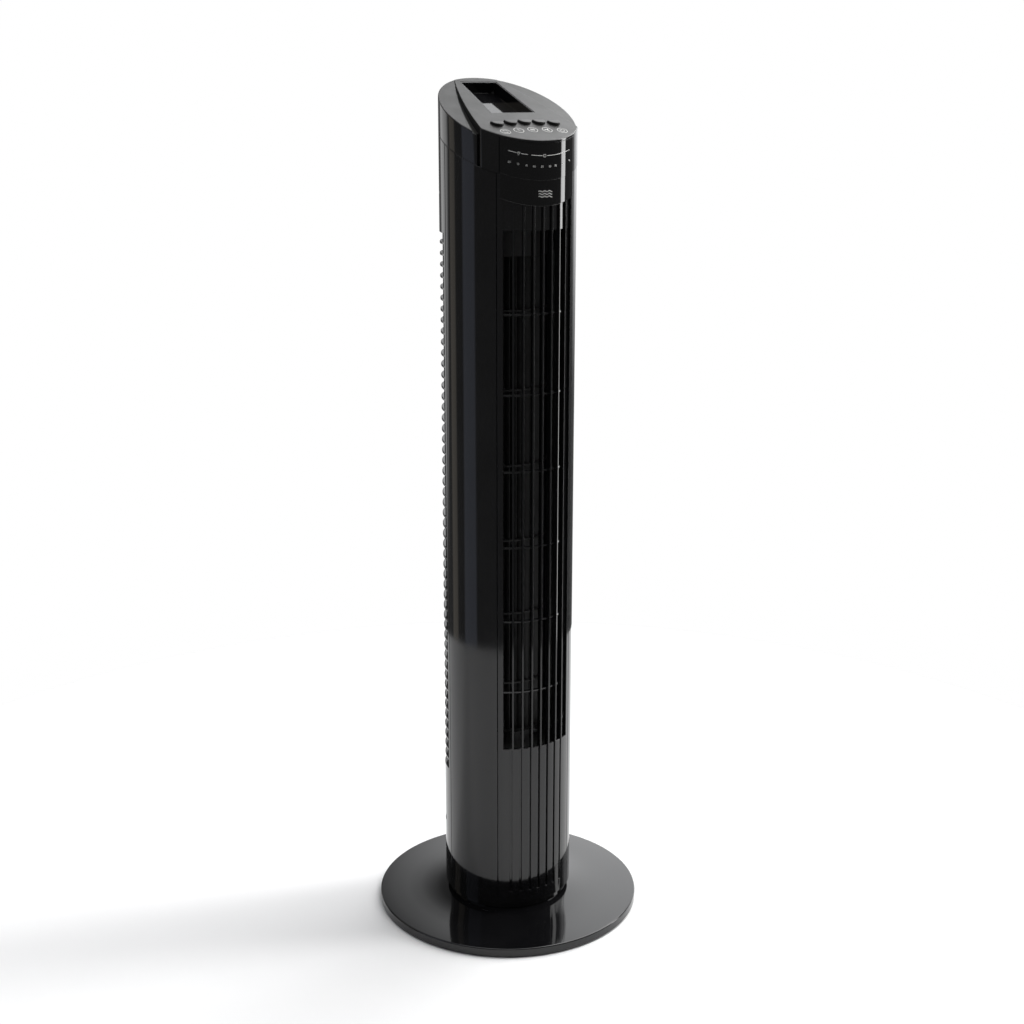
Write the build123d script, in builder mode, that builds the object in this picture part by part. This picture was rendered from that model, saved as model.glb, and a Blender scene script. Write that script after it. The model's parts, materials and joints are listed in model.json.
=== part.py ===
"""Oscillating tower fan on a round base.

Frame: origin at the centre of the underside on the floor, +Z up, the air outlet faces -Y.
Angles called "bearing" are measured round the tower from the front (-Y) towards +X.
"""

import os
from math import atan, cos, degrees, radians, sin

from build123d import *

# ---------------------------------------------------------------- driving dimensions (mm)
base_r = 147.0
base_edge_top = 10.6
base_crown = 12.6
foot_height = 1.6

body_r = 71.0
wall = 2.4
tower_bottom = 23.0
gap = 0.3

rear_rim = (71.0, 914.0)  # y and z of the highest point of the rim
cheek_slope = 0.48
deck_slope = 0.42
seam_height, seam_slope = 847.4, 0.44
console_foot, console_foot_slope = 831.2, 0.58

side_seam = 94.0  # bearing of the joint between front and rear shells
insert_edge = 39.4
border_edge = 34.6
console_edge = 37.4
outlet = (209.0, 766.0)
rib_heights = (274, 354, 436, 518, 599, 682)
fin_pitch = 8.7
fin_count = 7

intake = (167.0, 760.0)
slot_count = 51
slat = 2.4
slat_inner, slat_outer = 65.8, 70.7

swing = 35.0
spin_centre = (0.0, 4.0)
impeller_r = 43.0
deck_r = 72.0

button_pitch = 16.6
button_travel = 1.2
button_r = 6.5

seat_post_r = 22.0
retainer_top = 43.3
crank_centre = (36.0, -21.0)
crank_throw = 13.8
drive_pin = (0.0, -24.0)

shell_inner = body_r - wall
shelf_inner = 65.2  # inner radius of the recessed wall behind the front insert
shelf_outer = 67.4
insert_inner = 67.6


def sloped(height, slope):
    """Plane through (0, 0, height) that rises by slope towards the back."""
    return Plane(origin=(0, 0, height), x_dir=(1, 0, 0), z_dir=(0, -slope, 1))


deck = sloped(rear_rim[1] - deck_slope * rear_rim[0], deck_slope)
cheek = sloped(rear_rim[1] - cheek_slope * rear_rim[0], cheek_slope)
seam = sloped(seam_height, seam_slope)
console_cut = sloped(console_foot, console_foot_slope)
deck_tilt = degrees(atan(deck_slope))


def sector(inner, outer, start, end):
    """Flat ring sector between two bearings."""
    with BuildSketch() as flat:
        with BuildLine():
            near = CenterArc((0, 0), inner, start - 90, end - start)
            far = CenterArc((0, 0), outer, start - 90, end - start)
            Line(near @ 0, far @ 0)
            Line(near @ 1, far @ 1)
        make_face()
    return flat.sketch


def at_bearing(radius, bearing):
    """Point at a radius and a bearing."""
    return (radius * sin(radians(bearing)), -radius * cos(radians(bearing)))


def trapezoid(rear_half, front_half, front, rear, grow=0.0):
    """Symmetric four-sided outline, front and rear given along the deck."""
    with BuildSketch() as flat:
        with BuildLine():
            Polyline(
                (-front_half - grow, front - grow),
                (front_half + grow, front - grow),
                (rear_half + grow, rear + grow),
                (-rear_half - grow, rear + grow),
                close=True,
            )
        make_face()
    return flat.sketch


def half_moon(grow=0.0):
    """Push-button outline: round towards the front, straight at the back."""
    with BuildSketch() as flat:
        with BuildLine():
            curve = CenterArc((0, 0), button_r + grow, 180, 180)
            Polyline(curve @ 1, (button_r + grow, 2.5 + grow), (-button_r - grow, 2.5 + grow), curve @ 0)
        make_face()
    return flat.sketch


# ================================================================ base (fixed)
plate_r = base_r - 3.0
plate_top = foot_height + 1.6
collar_seat = 68.0  # the disc rises in a lip just outside the collar
disc_rise = 3.6
boss_r = 138.0
boss_points = PolarLocations(boss_r, 6, start_angle=30)

with BuildPart() as base_cover:
    with BuildSketch(Plane.XZ):
        with BuildLine():
            Polyline(
                (24, base_crown),
                (collar_seat, base_crown),
                (collar_seat, base_crown + disc_rise),
                (81, base_crown + 1.6),
                (100, base_crown + 0.2),
                (base_r - 2, base_edge_top),
                (base_r, base_edge_top - 2),
                (base_r, foot_height),
                (base_r - 2.6, foot_height),
                (base_r - 2.6, base_edge_top - 2.6),
                (100, base_crown - 2.5),
                (24, base_crown - 2.5),
                close=True,
            )
        make_face()
    revolve(axis=Axis.Z)
    fillet(base_cover.edges().filter_by(GeomType.CIRCLE).filter_by_position(Axis.Z, 8, 11)
           .sort_by(SortBy.RADIUS)[-2:], 1.2)
    with BuildSketch(Plane.XY.offset(plate_top)):
        with boss_points:
            Circle(3.5)
    extrude(amount=6.0)
    with boss_points:
        with Locations((0, 0, plate_top + 2.5)):
            Cylinder(1.3, 5.0, mode=Mode.SUBTRACT)
    with PolarLocations(28, 4, start_angle=45):
        with Locations((0, 0, base_crown - 1.25)):
            Cylinder(1.9, 2.6, mode=Mode.SUBTRACT)
base_cover.part.label = "base_cover"

with BuildPart() as base_weight:
    with BuildSketch(Plane.XY.offset(plate_top)):
        Circle(130)
        Circle(34, mode=Mode.SUBTRACT)
    extrude(amount=3.8)
    chamfer(base_weight.edges().group_by(Axis.Z)[-1], 0.5)
base_weight.part.label = "base_weight"

foot_points = PolarLocations(126, 6, start_angle=0)
with BuildPart() as base_plate:
    with BuildSketch(Plane.XY.offset(foot_height)):
        Circle(plate_r)
        with boss_points:
            Circle(1.7, mode=Mode.SUBTRACT)
    extrude(amount=plate_top - foot_height)
    with BuildSketch(Plane.XY.offset(foot_height)):
        with foot_points:
            Circle(10.2)
            Circle(8.8, mode=Mode.SUBTRACT)
    extrude(amount=-0.6)
base_plate.part.label = "base_plate"

with BuildPart() as rubber_feet:
    with BuildSketch():
        with foot_points:
            Circle(8.5)
    extrude(amount=foot_height)
    chamfer(rubber_feet.edges().group_by(Axis.Z)[0], 0.4)
rubber_feet.part.label = "rubber_feet"

with BuildPart() as base_screws:
    with BuildSketch(Plane.XY.offset(0.5)):
        with boss_points:
            Circle(2.8)
    extrude(amount=foot_height - 0.5)
    with BuildSketch(Plane.XY.offset(0.5)):
        with boss_points:
            SlotOverall(4.0, 0.8)
    extrude(amount=0.5, mode=Mode.SUBTRACT)
    with BuildSketch(Plane.XY.offset(foot_height)):
        with boss_points:
            Circle(1.25)
    extrude(amount=6.0)
base_screws.part.label = "base_screws"

# The swivel seat is screwed to the base. The tower's floor turns round its post.
track_top = 19.1
with BuildPart() as swivel_seat:
    with BuildSketch(Plane.XZ):
        with BuildLine():
            Polyline(
                (18, base_crown),
                (67.0, base_crown),
                (67.6, base_crown + 0.8),
                (67.6, 22.0),
                (67.0, 22.6),
                (64.6, 22.6),
                (64.6, 16.0),
                (56, 16.0),
                (56, track_top),
                (40, track_top),
                (40, 16.0),
                (seat_post_r, 16.0),
                (seat_post_r, 40.3),
                (18, 40.3),
                close=True,
            )
        make_face()
    revolve(axis=Axis.Z)
    with BuildSketch(Plane.XY.offset(15.5)):
        with PolarLocations(28, 4, start_angle=45):
            Circle(3.5)
    extrude(amount=3.9)
    with PolarLocations(28, 4, start_angle=45):
        with Locations((0, 0, base_crown + 2.8)):
            Cylinder(1.55, 5.8, mode=Mode.SUBTRACT)
    with PolarLocations(20, 3, start_angle=90):
        with Locations((0, 0, 36)):
            Cylinder(0.95, 8.8, mode=Mode.SUBTRACT)
swivel_seat.part.label = "swivel_seat"

with BuildPart() as seat_screws:
    with BuildSketch(Plane.XY.offset(7.9)):
        with PolarLocations(28, 4, start_angle=45):
            Circle(3.0)
    extrude(amount=2.1)
    with BuildSketch(Plane.XY.offset(10.0)):
        with PolarLocations(28, 4, start_angle=45):
            Circle(1.5)
    extrude(amount=8.0)
seat_screws.part.label = "seat_screws"

with BuildPart() as slide_ring:
    with BuildSketch(Plane.XY.offset(track_top)):
        Circle(55.5)
        Circle(40.5, mode=Mode.SUBTRACT)
    extrude(amount=1.8)
    with BuildSketch(Plane.XY.offset(track_top)):
        with PolarLocations(48, 8):
            SlotOverall(9, 3, rotation=90)
    extrude(amount=1.8, mode=Mode.SUBTRACT)
slide_ring.part.label = "slide_ring"

with BuildPart() as post_retainer:
    with BuildSketch(Plane.XY.offset(40.3)):
        Circle(30)
        Circle(16, mode=Mode.SUBTRACT)
        with PolarLocations(20, 3, start_angle=90):
            Circle(1.3, mode=Mode.SUBTRACT)
    extrude(amount=retainer_top - 40.3)
    with BuildSketch(Plane.XY.offset(retainer_top)):
        with Locations(drive_pin):
            Circle(2.5)
    extrude(amount=3.0)
post_retainer.part.label = "post_retainer"

with BuildPart() as retainer_screws:
    with BuildSketch(Plane.XY.offset(33)):
        with PolarLocations(20, 3, start_angle=90):
            Circle(0.9)
    extrude(amount=retainer_top - 33)
    with BuildSketch(Plane.XY.offset(retainer_top)):
        with PolarLocations(20, 3, start_angle=90):
            Circle(1.9)
    extrude(amount=1.4)
retainer_screws.part.label = "retainer_screws"

# ================================================================ tower floor and swing drive
post_span = 26.0
drive_posts = [
    (crank_centre[0] + post_span * cos(radians(a)), crank_centre[1] + post_span * sin(radians(a)))
    for a in (60, 240)
]
drive_bottom = 54.8
shelf_bearings = (-70, 70)

with BuildPart() as tower_floor:
    with BuildSketch(Plane.XZ):
        with BuildLine():
            Polyline(
                (seat_post_r + 0.08, 20.0),
                (27, 20.0),
                (27, 23.2),
                (42, 23.2),
                (42, 21.0),
                (54, 21.0),
                (54, 23.2),
                (64.9, 23.2),
                (64.9, 26.6),
                (27, 26.6),
                (27, 40.0),
                (seat_post_r + 0.08, 40.0),
                close=True,
            )
        make_face()
    revolve(axis=Axis.Z)
    with BuildSketch(Plane.XY.offset(23.2)):
        for bearing in shelf_bearings:
            add(sector(60, 68.2, bearing - 7, bearing + 7))
    extrude(amount=3.4)
    with BuildSketch(Plane.XY.offset(26)):
        with Locations(*drive_posts):
            Circle(4)
    extrude(amount=drive_bottom - 26)
    with Locations(*[(x, y, drive_bottom - 5) for x, y in drive_posts]):
        Cylinder(1.3, 10.4, mode=Mode.SUBTRACT)
    with Locations(*[(*at_bearing(63, b), 25) for b in shelf_bearings]):
        Cylinder(1.3, 5, mode=Mode.SUBTRACT)
tower_floor.part.label = "tower_floor"

with BuildPart() as swing_motor:
    with BuildSketch(Plane.XY.offset(drive_bottom)):
        with Locations(crank_centre):
            Circle(21)
    extrude(amount=16)
    with BuildSketch(Plane.XY.offset(drive_bottom)):
        with Locations(*drive_posts):
            Circle(4.5)
        with Locations(crank_centre):
            Rectangle(2 * post_span, 9, rotation=60)
    extrude(amount=1.4)
    with BuildSketch(Plane.XY.offset(drive_bottom + 16)):
        with Locations(crank_centre):
            Rectangle(14, 9)
    extrude(amount=4)
    with Locations(*[(x, y, drive_bottom + 0.7) for x, y in drive_posts]):
        Cylinder(1.6, 2, mode=Mode.SUBTRACT)
swing_motor.part.label = "swing_motor"

with BuildPart() as swing_motor_screws:
    with BuildSketch(Plane.XY.offset(drive_bottom - 7)):
        with Locations(*drive_posts):
            Circle(1.25)
    extrude(amount=8.4)
    with BuildSketch(Plane.XY.offset(drive_bottom + 1.4)):
        with Locations(*drive_posts):
            Circle(2.8)
    extrude(amount=1.6)
swing_motor_screws.part.label = "swing_motor_screws"

crank_pin = (crank_centre[0], crank_centre[1] - crank_throw)
link_bottom = 46.8
with BuildPart() as crank:
    with BuildSketch(Plane.XY.offset(50.1)):
        with Locations(crank_centre):
            Circle(17.5)
    extrude(amount=3)
    with BuildSketch(Plane.XY.offset(53.1)):
        with Locations(crank_centre):
            Circle(5)
    extrude(amount=1.4)
    with BuildSketch(Plane.XY.offset(link_bottom)):
        with Locations(crank_pin):
            Circle(2.5)
    extrude(amount=3.6)
crank.part.label = "crank"

# The link's far eye stays above the drive pin: this pivot is the open one of the linkage.
link_run = Vector(*drive_pin) - Vector(*crank_pin)
link_middle = (Vector(*drive_pin) + Vector(*crank_pin)) / 2
link_turn = degrees(atan(link_run.Y / link_run.X))
with BuildPart() as drive_link:
    with BuildSketch(Plane.XY.offset(link_bottom)):
        with Locations(link_middle):
            SlotCenterToCenter(link_run.length, 9, rotation=link_turn)
        with Locations(crank_pin):
            Circle(2.56, mode=Mode.SUBTRACT)
        with Locations(drive_pin):
            Circle(2.56, mode=Mode.SUBTRACT)
    extrude(amount=3)
drive_link.part.label = "drive_link"

# ================================================================ tower shells
shell_top = 930.0
shelf_tops = (31.0, 199.7, 767.7)
shelf_drop = 4.2
housing_screw_heights = (100.0, 800.0)
housing_boss_x = 64.2
cap_shelf = 828.5
board_y = 52.0  # how far in front of the axis the power board stands

with BuildPart() as front_shell:
    with BuildSketch(Plane.XY.offset(tower_bottom)):
        for start, end in ((40, side_seam), (-side_seam, -40)):
            add(sector(shell_inner, body_r, start, end))
        for start, end in ((40, 44), (-44, -40)):
            add(sector(shelf_inner, body_r, start, end))
    extrude(amount=shell_top - tower_bottom)
    with BuildSketch(Plane.XY.offset(tower_bottom)):
        add(sector(shelf_inner, shelf_outer, -41, 41))
    extrude(amount=outlet[0] - 2 - tower_bottom)
    with BuildSketch(Plane.XY.offset(outlet[1] + 2)):
        add(sector(shelf_inner, shelf_outer, -41, 41))
    extrude(amount=shell_top - outlet[1])
    for top in shelf_tops:
        with BuildSketch(Plane.XY.offset(top - shelf_drop)):
            for bearing in shelf_bearings:
                add(sector(60, shell_inner + 1, bearing - 8, bearing + 8))
        extrude(amount=shelf_drop)
    with BuildSketch(Plane.XY.offset(cap_shelf)):
        for bearing in shelf_bearings:
            add(sector(58, shell_inner + 1, bearing - 6, bearing + 6))
    extrude(amount=shelf_drop)
    for height in housing_screw_heights:
        with BuildSketch(Plane.XZ.offset(10)):
            with Locations((housing_boss_x, height), (-housing_boss_x, height)):
                Circle(4.6)
        extrude(amount=-14.6)
        with Locations(*[(x, 0, height) for x in (housing_boss_x, -housing_boss_x)]):
            Cylinder(1.35, 24, rotation=(90, 0, 0), mode=Mode.SUBTRACT)
    split(bisect_by=seam.offset(-0.3), keep=Keep.BOTTOM)
    for top, hole_r in zip(shelf_tops, (1.7, 1.3, 1.3)):
        with Locations(*[(*at_bearing(63, b), top - 1) for b in shelf_bearings]):
            Cylinder(hole_r, 9, mode=Mode.SUBTRACT)
    with Locations(*[(*at_bearing(62, b), cap_shelf + 2) for b in shelf_bearings]):
        Cylinder(1.7, 9, mode=Mode.SUBTRACT)
    with BuildSketch(Plane.XZ.offset(board_y + 1.0)):
        with Locations((28, 102), (-28, 102)):
            Circle(3)
    extrude(amount=6.6)
    with Locations((28, -board_y - 4, 102), (-28, -board_y - 4, 102)):
        Cylinder(0.95, 9, rotation=(90, 0, 0), mode=Mode.SUBTRACT)
front_shell.part.label = "front_shell"

slot_pitch = (intake[1] - intake[0] + slat) / slot_count
gland_height = 58.0
with BuildPart() as rear_shell:
    with BuildSketch(Plane.XY.offset(tower_bottom)):
        add(sector(shell_inner, body_r, side_seam + gap, 360 - side_seam - gap))
    extrude(amount=shell_top - tower_bottom)
    with BuildSketch(Plane.XY.offset(intake[0])):
        add(sector(shell_inner - 1, body_r + 1, 99, 261))
    extrude(amount=intake[1] - intake[0], mode=Mode.SUBTRACT)
    for row in range(1, slot_count):
        with BuildSketch(Plane.XY.offset(intake[0] + row * slot_pitch - slat)):
            add(sector(slat_inner, slat_outer, 98, 262))
        extrude(amount=slat)
    with BuildSketch(Plane.XY.offset(intake[0] - 4)):
        for bearing in (120, 150, 180, 210, 240):
            add(sector(63.4, 67.8, bearing - 1.3, bearing + 1.3))
    extrude(amount=intake[1] - intake[0] + 8)
    for low in (intake[0] - 4, intake[1]):
        with BuildSketch(Plane.XY.offset(low)):
            add(sector(slat_inner, slat_outer, 98, 262))
        extrude(amount=4)
    for height in housing_screw_heights:
        with BuildSketch(Plane.XZ.offset(-5.4)):
            with Locations((housing_boss_x, height), (-housing_boss_x, height)):
                Circle(4.6)
        extrude(amount=-20.6)
        with Locations(*[(x, 20, height) for x in (housing_boss_x, -housing_boss_x)]):
            Cylinder(1.7, 30, rotation=(90, 0, 0), mode=Mode.SUBTRACT)
        with Locations(*[(x, 32, height) for x in (housing_boss_x, -housing_boss_x)]):
            Cylinder(3.4, 20, rotation=(90, 0, 0), mode=Mode.SUBTRACT)
    with BuildSketch(Plane.XY.offset(tower_bottom)):
        Circle(body_r)
    extrude(amount=shell_top - tower_bottom, mode=Mode.INTERSECT)
    with Locations((0, body_r, gland_height)):
        Cylinder(5.1, 12, rotation=(90, 0, 0), mode=Mode.SUBTRACT)
    split(bisect_by=seam.offset(-0.3), keep=Keep.BOTTOM)
rear_shell.part.label = "rear_shell"

with BuildPart() as housing_screws:
    for height in housing_screw_heights:
        with BuildSketch(Plane.XZ.offset(4)):
            with Locations((housing_boss_x, height), (-housing_boss_x, height)):
                Circle(1.3)
        extrude(amount=-26)
        with BuildSketch(Plane.XZ.offset(-22)):
            with Locations((housing_boss_x, height), (-housing_boss_x, height)):
                Circle(2.9)
        extrude(amount=-2)
housing_screws.part.label = "housing_screws"

with BuildPart() as cord_gland:
    with BuildSketch(Plane.XY.offset(gland_height)):
        with BuildLine():
            Polyline(
                (3.3, body_r + 5),
                (5.6, body_r + 5),
                (7.8, body_r + 0.6),
                (7.8, body_r + 0.02),
                (5.0, body_r + 0.02),
                (5.0, shell_inner - 0.6),
                (6.6, shell_inner - 0.6),
                (6.6, shell_inner - 2.4),
                (3.3, shell_inner - 2.4),
                close=True,
            )
        make_face()
    revolve(axis=Axis((0, 0, gland_height), (0, 1, 0)))
cord_gland.part.label = "cord_gland"

# ---------------------------------------------------------------- front insert: fluted panel and outlet grille
fin_bearings = [fin_pitch * (k - (fin_count - 1) / 2) for k in range(fin_count)]
flute_foot = 38.0
groove_start, groove_end = -2.7, -0.8
flat_starts = [-border_edge] + [b + groove_end for b in fin_bearings]
flat_ends = [b + groove_start for b in fin_bearings] + [border_edge]

with BuildPart() as front_grille:
    with BuildSketch(Plane.XY.offset(tower_bottom)):
        add(sector(insert_inner, body_r, -insert_edge, insert_edge))
    extrude(amount=flute_foot - tower_bottom)
    with BuildSketch(Plane.XY.offset(flute_foot)):
        add(sector(insert_inner, insert_inner + 1.2, -border_edge - 0.5, border_edge + 0.5))
        for start, end in zip(flat_starts, flat_ends):
            add(sector(insert_inner, body_r, start, end))
    extrude(amount=outlet[0] - flute_foot)
    with BuildSketch(Plane.XY.offset(flute_foot)):
        add(sector(insert_inner, body_r, -insert_edge, -border_edge))
        add(sector(insert_inner, body_r, border_edge, insert_edge))
    extrude(amount=840 - flute_foot)
    with BuildSketch(Plane.XY.offset(outlet[0])):
        for bearing in fin_bearings:
            add(sector(64.8, body_r, bearing - 0.8, bearing + 0.8))
    extrude(amount=outlet[1] - outlet[0])
    for height in rib_heights:
        with BuildSketch(Plane.XY.offset(height - 1)):
            add(sector(64.8, 68.2, -border_edge - 0.5, border_edge + 0.5))
        extrude(amount=2)
    with BuildSketch(Plane.XY.offset(outlet[1])):
        add(sector(insert_inner, insert_inner + 1.2, -border_edge - 0.5, border_edge + 0.5))
        for bearing in fin_bearings:
            add(sector(insert_inner, body_r, bearing - 0.8, bearing + 0.8))
    extrude(amount=840 - outlet[1])
    split(bisect_by=console_cut.offset(-0.4), keep=Keep.BOTTOM)
    with BuildSketch(Plane.XY.offset(outlet[1])):
        add(sector(insert_inner, body_r, -insert_edge, -console_edge - 0.4))
        add(sector(insert_inner, body_r, console_edge + 0.4, insert_edge))
    extrude(amount=900 - outlet[1])
    split(bisect_by=seam.offset(-0.3), keep=Keep.BOTTOM)
front_grille.part.label = "front_grille"

# ================================================================ blower
bracket_low = shelf_tops[1] + gap
loom_corner = (-38.0, 40.0)
with BuildPart() as motor_bracket:
    with BuildSketch(Plane.XY.offset(bracket_low)):
        Circle(62.5)
        for bearing in shelf_bearings:
            add(sector(60, 67.9, bearing - 6, bearing + 6))
        with Locations(spin_centre):
            Circle(8, mode=Mode.SUBTRACT)
        with Locations(loom_corner, (-loom_corner[0], loom_corner[1])):
            SlotOverall(22, 8, mode=Mode.SUBTRACT)
        with Locations(spin_centre):
            with PolarLocations(34, 4, start_angle=45):
                Circle(1.7, mode=Mode.SUBTRACT)
        with Locations(*[at_bearing(63, b) for b in shelf_bearings]):
            Circle(1.7, mode=Mode.SUBTRACT)
    extrude(amount=2.5)
motor_bracket.part.label = "motor_bracket"

with BuildPart() as motor_housing:
    with BuildSketch(Plane.YZ):
        with BuildLine():
            Polyline(
                (spin_centre[1] + 4.06, 132),
                (spin_centre[1] + 12, 132),
                (spin_centre[1] + 12, 138),
                (spin_centre[1] + 40, 138),
                (spin_centre[1] + 40, 190),
                (spin_centre[1] + 12, 190),
                (spin_centre[1] + 12, 194),
                (spin_centre[1] + 4.06, 194),
                (spin_centre[1] + 4.06, 187.5),
                (spin_centre[1] + 37.8, 187.5),
                (spin_centre[1] + 37.8, 140.5),
                (spin_centre[1] + 4.06, 140.5),
                close=True,
            )
        make_face()
    revolve(axis=Axis((*spin_centre, 0), (0, 0, 1)))
    with BuildSketch(Plane.XY.offset(190)):
        with Locations(spin_centre):
            with PolarLocations(34, 4, start_angle=45):
                Circle(4)
    extrude(amount=bracket_low - 190)
    with Locations((*spin_centre, bracket_low - 4)):
        with PolarLocations(34, 4, start_angle=45):
            Cylinder(1.35, 8.2, mode=Mode.SUBTRACT)
motor_housing.part.label = "motor_housing"

with BuildPart() as stator_core:
    with BuildSketch(Plane.XY.offset(148)):
        with Locations(spin_centre):
            Circle(37.6)
            Circle(22.6, mode=Mode.SUBTRACT)
            with PolarLocations(28.5, 8):
                Circle(3.2, mode=Mode.SUBTRACT)
    extrude(amount=32)
stator_core.part.label = "stator_core"

with BuildPart() as motor_rotor:
    with BuildSketch(Plane.XY.offset(149)):
        with Locations(spin_centre):
            Circle(22)
    extrude(amount=30)
    with BuildSketch(Plane.XY.offset(126)):
        with Locations(spin_centre):
            Circle(4)
    extrude(amount=88)
motor_rotor.part.label = "motor_rotor"

wheel_bottom, wheel_top = 216.0, 756.0
with BuildPart() as impeller:
    with BuildSketch(Plane.XY.offset(wheel_bottom)):
        with Locations(spin_centre):
            with PolarLocations(38.6, 36):
                SlotArc(CenterArc((0, 9), 9, 240, 58), 1.1, rotation=35)
    extrude(amount=wheel_top - wheel_bottom)
    for height in rib_heights:
        with BuildSketch(Plane.XY.offset(height - 0.8)):
            with Locations(spin_centre):
                Circle(impeller_r + 0.4)
                Circle(31.5, mode=Mode.SUBTRACT)
        extrude(amount=1.6)
    for low in (wheel_bottom, wheel_top - 2.5):
        with BuildSketch(Plane.XY.offset(low)):
            with Locations(spin_centre):
                Circle(impeller_r + 0.8)
        extrude(amount=2.5)
    with BuildSketch(Plane.XY.offset(wheel_top)):
        with Locations(spin_centre):
            Circle(4)
    extrude(amount=26)
impeller.part.label = "impeller"

with BuildPart() as impeller_hub:
    with BuildSketch(Plane.XY.offset(205)):
        with Locations(spin_centre):
            Circle(10)
            Circle(4.03, mode=Mode.SUBTRACT)
    extrude(amount=wheel_bottom - 205)
impeller_hub.part.label = "impeller_hub"

carrier_low = shelf_tops[2] + gap
shroud_low = 738.0  # lower rim of the ring round the wheel's top end
with BuildPart() as bearing_carrier:
    with BuildSketch(Plane.XY.offset(carrier_low)):
        Circle(62.5)
        for bearing in shelf_bearings:
            add(sector(60, 67.9, bearing - 6, bearing + 6))
        with Locations(*[at_bearing(63, b) for b in shelf_bearings]):
            Circle(1.7, mode=Mode.SUBTRACT)
        with Locations(loom_corner):
            Circle(4, mode=Mode.SUBTRACT)
    extrude(amount=2.5)
    with BuildSketch(Plane.XY.offset(carrier_low)):
        with Locations(spin_centre):
            Circle(12)
    extrude(amount=12)
    with BuildSketch(Plane.XY.offset(shroud_low)):
        with Locations(spin_centre):
            Circle(46.2)
            Circle(45.0, mode=Mode.SUBTRACT)
    extrude(amount=carrier_low - shroud_low)
    with Locations((*spin_centre, carrier_low + 6)):
        Cylinder(9.05, 12, mode=Mode.SUBTRACT)
bearing_carrier.part.label = "bearing_carrier"

with BuildPart() as top_bush:
    with BuildSketch(Plane.XY.offset(carrier_low)):
        with Locations(spin_centre):
            Circle(9)
            Circle(4.06, mode=Mode.SUBTRACT)
    extrude(amount=12)
    chamfer(top_bush.edges().group_by(Axis.Z)[-1], 0.5)
top_bush.part.label = "top_bush"

# Floor, motor bracket and bearing carrier are all held at the shelves by one kind of screw.
with BuildPart() as bracket_screws:
    for seat in (shelf_tops[0], bracket_low + 2.5, carrier_low + 2.5):
        with BuildSketch(Plane.XY.offset(seat - 7.2)):
            with Locations(*[at_bearing(63, b) for b in shelf_bearings]):
                Circle(1.25)
        extrude(amount=7.2)
        with BuildSketch(Plane.XY.offset(seat)):
            with Locations(*[at_bearing(63, b) for b in shelf_bearings]):
                Circle(2.8)
        extrude(amount=1.8)
bracket_screws.part.label = "bracket_screws"

with BuildPart() as motor_screws:
    with BuildSketch(Plane.XY.offset(bracket_low - 7)):
        with Locations(spin_centre):
            with PolarLocations(34, 4, start_angle=45):
                Circle(1.25)
    extrude(amount=9.5)
    with BuildSketch(Plane.XY.offset(bracket_low + 2.5)):
        with Locations(spin_centre):
            with PolarLocations(34, 4, start_angle=45):
                Circle(2.8)
    extrude(amount=1.8)
motor_screws.part.label = "motor_screws"

# Curved wall that turns the air from the back round the wheel to the outlet, on the right.
guide_low, guide_high = bracket_low + 2.5, carrier_low
with BuildPart() as air_guide:
    with BuildSketch(Plane.XY.offset(guide_low)):
        with BuildLine():
            ThreePointArc((60.5, 16), (49.5, -4), (43.6, -44.0))
            offset(amount=0.9, side=Side.BOTH)
        make_face()
    extrude(amount=guide_high - guide_low)
air_guide.part.label = "air_guide"

# Tongue that closes the gap between the wheel and the left side, from the outlet round to the back.
with BuildPart() as cutoff_tongue:
    with BuildSketch(Plane.XY.offset(guide_low)):
        with BuildLine():
            Polyline(
                (-42.5, -46.5),
                (-35.5, -31.8),
                (-50.5, -18.0),
                (-57.5, 4.0),
                (-52.0, 31.6),
                (-53.4, 32.8),
                (-59.5, 4.0),
                (-52.2, -19.2),
                (-38.2, -32.3),
                (-44.0, -45.4),
                close=True,
            )
        make_face()
    extrude(amount=guide_high - guide_low)
cutoff_tongue.part.label = "cutoff_tongue"

# ================================================================ electrics in the tower
with BuildPart() as motor_capacitor:
    with BuildSketch(Plane.XY.offset(bracket_low - 28)):
        with Locations((0, -50)):
            Rectangle(34, 13)
    extrude(amount=28)
    fillet(motor_capacitor.edges().filter_by(Axis.Z), 2)
motor_capacitor.part.label = "motor_capacitor"

with BuildPart() as power_board:
    with BuildSketch(Plane.XZ.offset(board_y - 0.8)):
        with Locations((0, 102)):
            Rectangle(70, 46)
        with Locations((28, 102), (-28, 102)):
            Circle(1.3, mode=Mode.SUBTRACT)
    extrude(amount=1.6)
    with BuildSketch(Plane.XZ.offset(board_y - 0.8)):
        with Locations((8, 108)):
            Rectangle(22, 18)
    extrude(amount=-14)
    with BuildSketch(Plane.XZ.offset(board_y - 0.8)):
        with Locations((-12, 92), (12, 88)):
            Rectangle(12, 8)
    extrude(amount=-9)
power_board.part.label = "power_board"

loom_r = 2.2
with BuildPart() as wire_loom:
    with BuildLine() as loom_path:
        FilletPolyline(
            (-25, -board_y + 3, 116),
            (-30, -26, 122),
            (-50, -4, 128),
            (*loom_corner, 150),
            (*loom_corner, 815),
            (-38, 14, 838),
            (-30, -16, 842),
            radius=12,
        )
    with BuildSketch(Plane(origin=loom_path.line @ 0, z_dir=loom_path.line % 0)):
        Circle(loom_r)
    sweep()
wire_loom.part.label = "wire_loom"

# ================================================================ top cap
wedge_half, wedge_flare, wedge_end, wedge_bulge = 31.0, 0.265, 54.0, 3.0
groove = 1.6  # depth
groove_width = 4.2
side_groove = 2.4
wedge_reach = 75.0


def wedge_side(y):
    """Half width of the raised deck at y. Its sides bow outwards."""
    bow = wedge_bulge * (1 - ((y - 4) / 50) ** 2)
    return wedge_half + wedge_flare * (wedge_end - y) + bow


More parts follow.
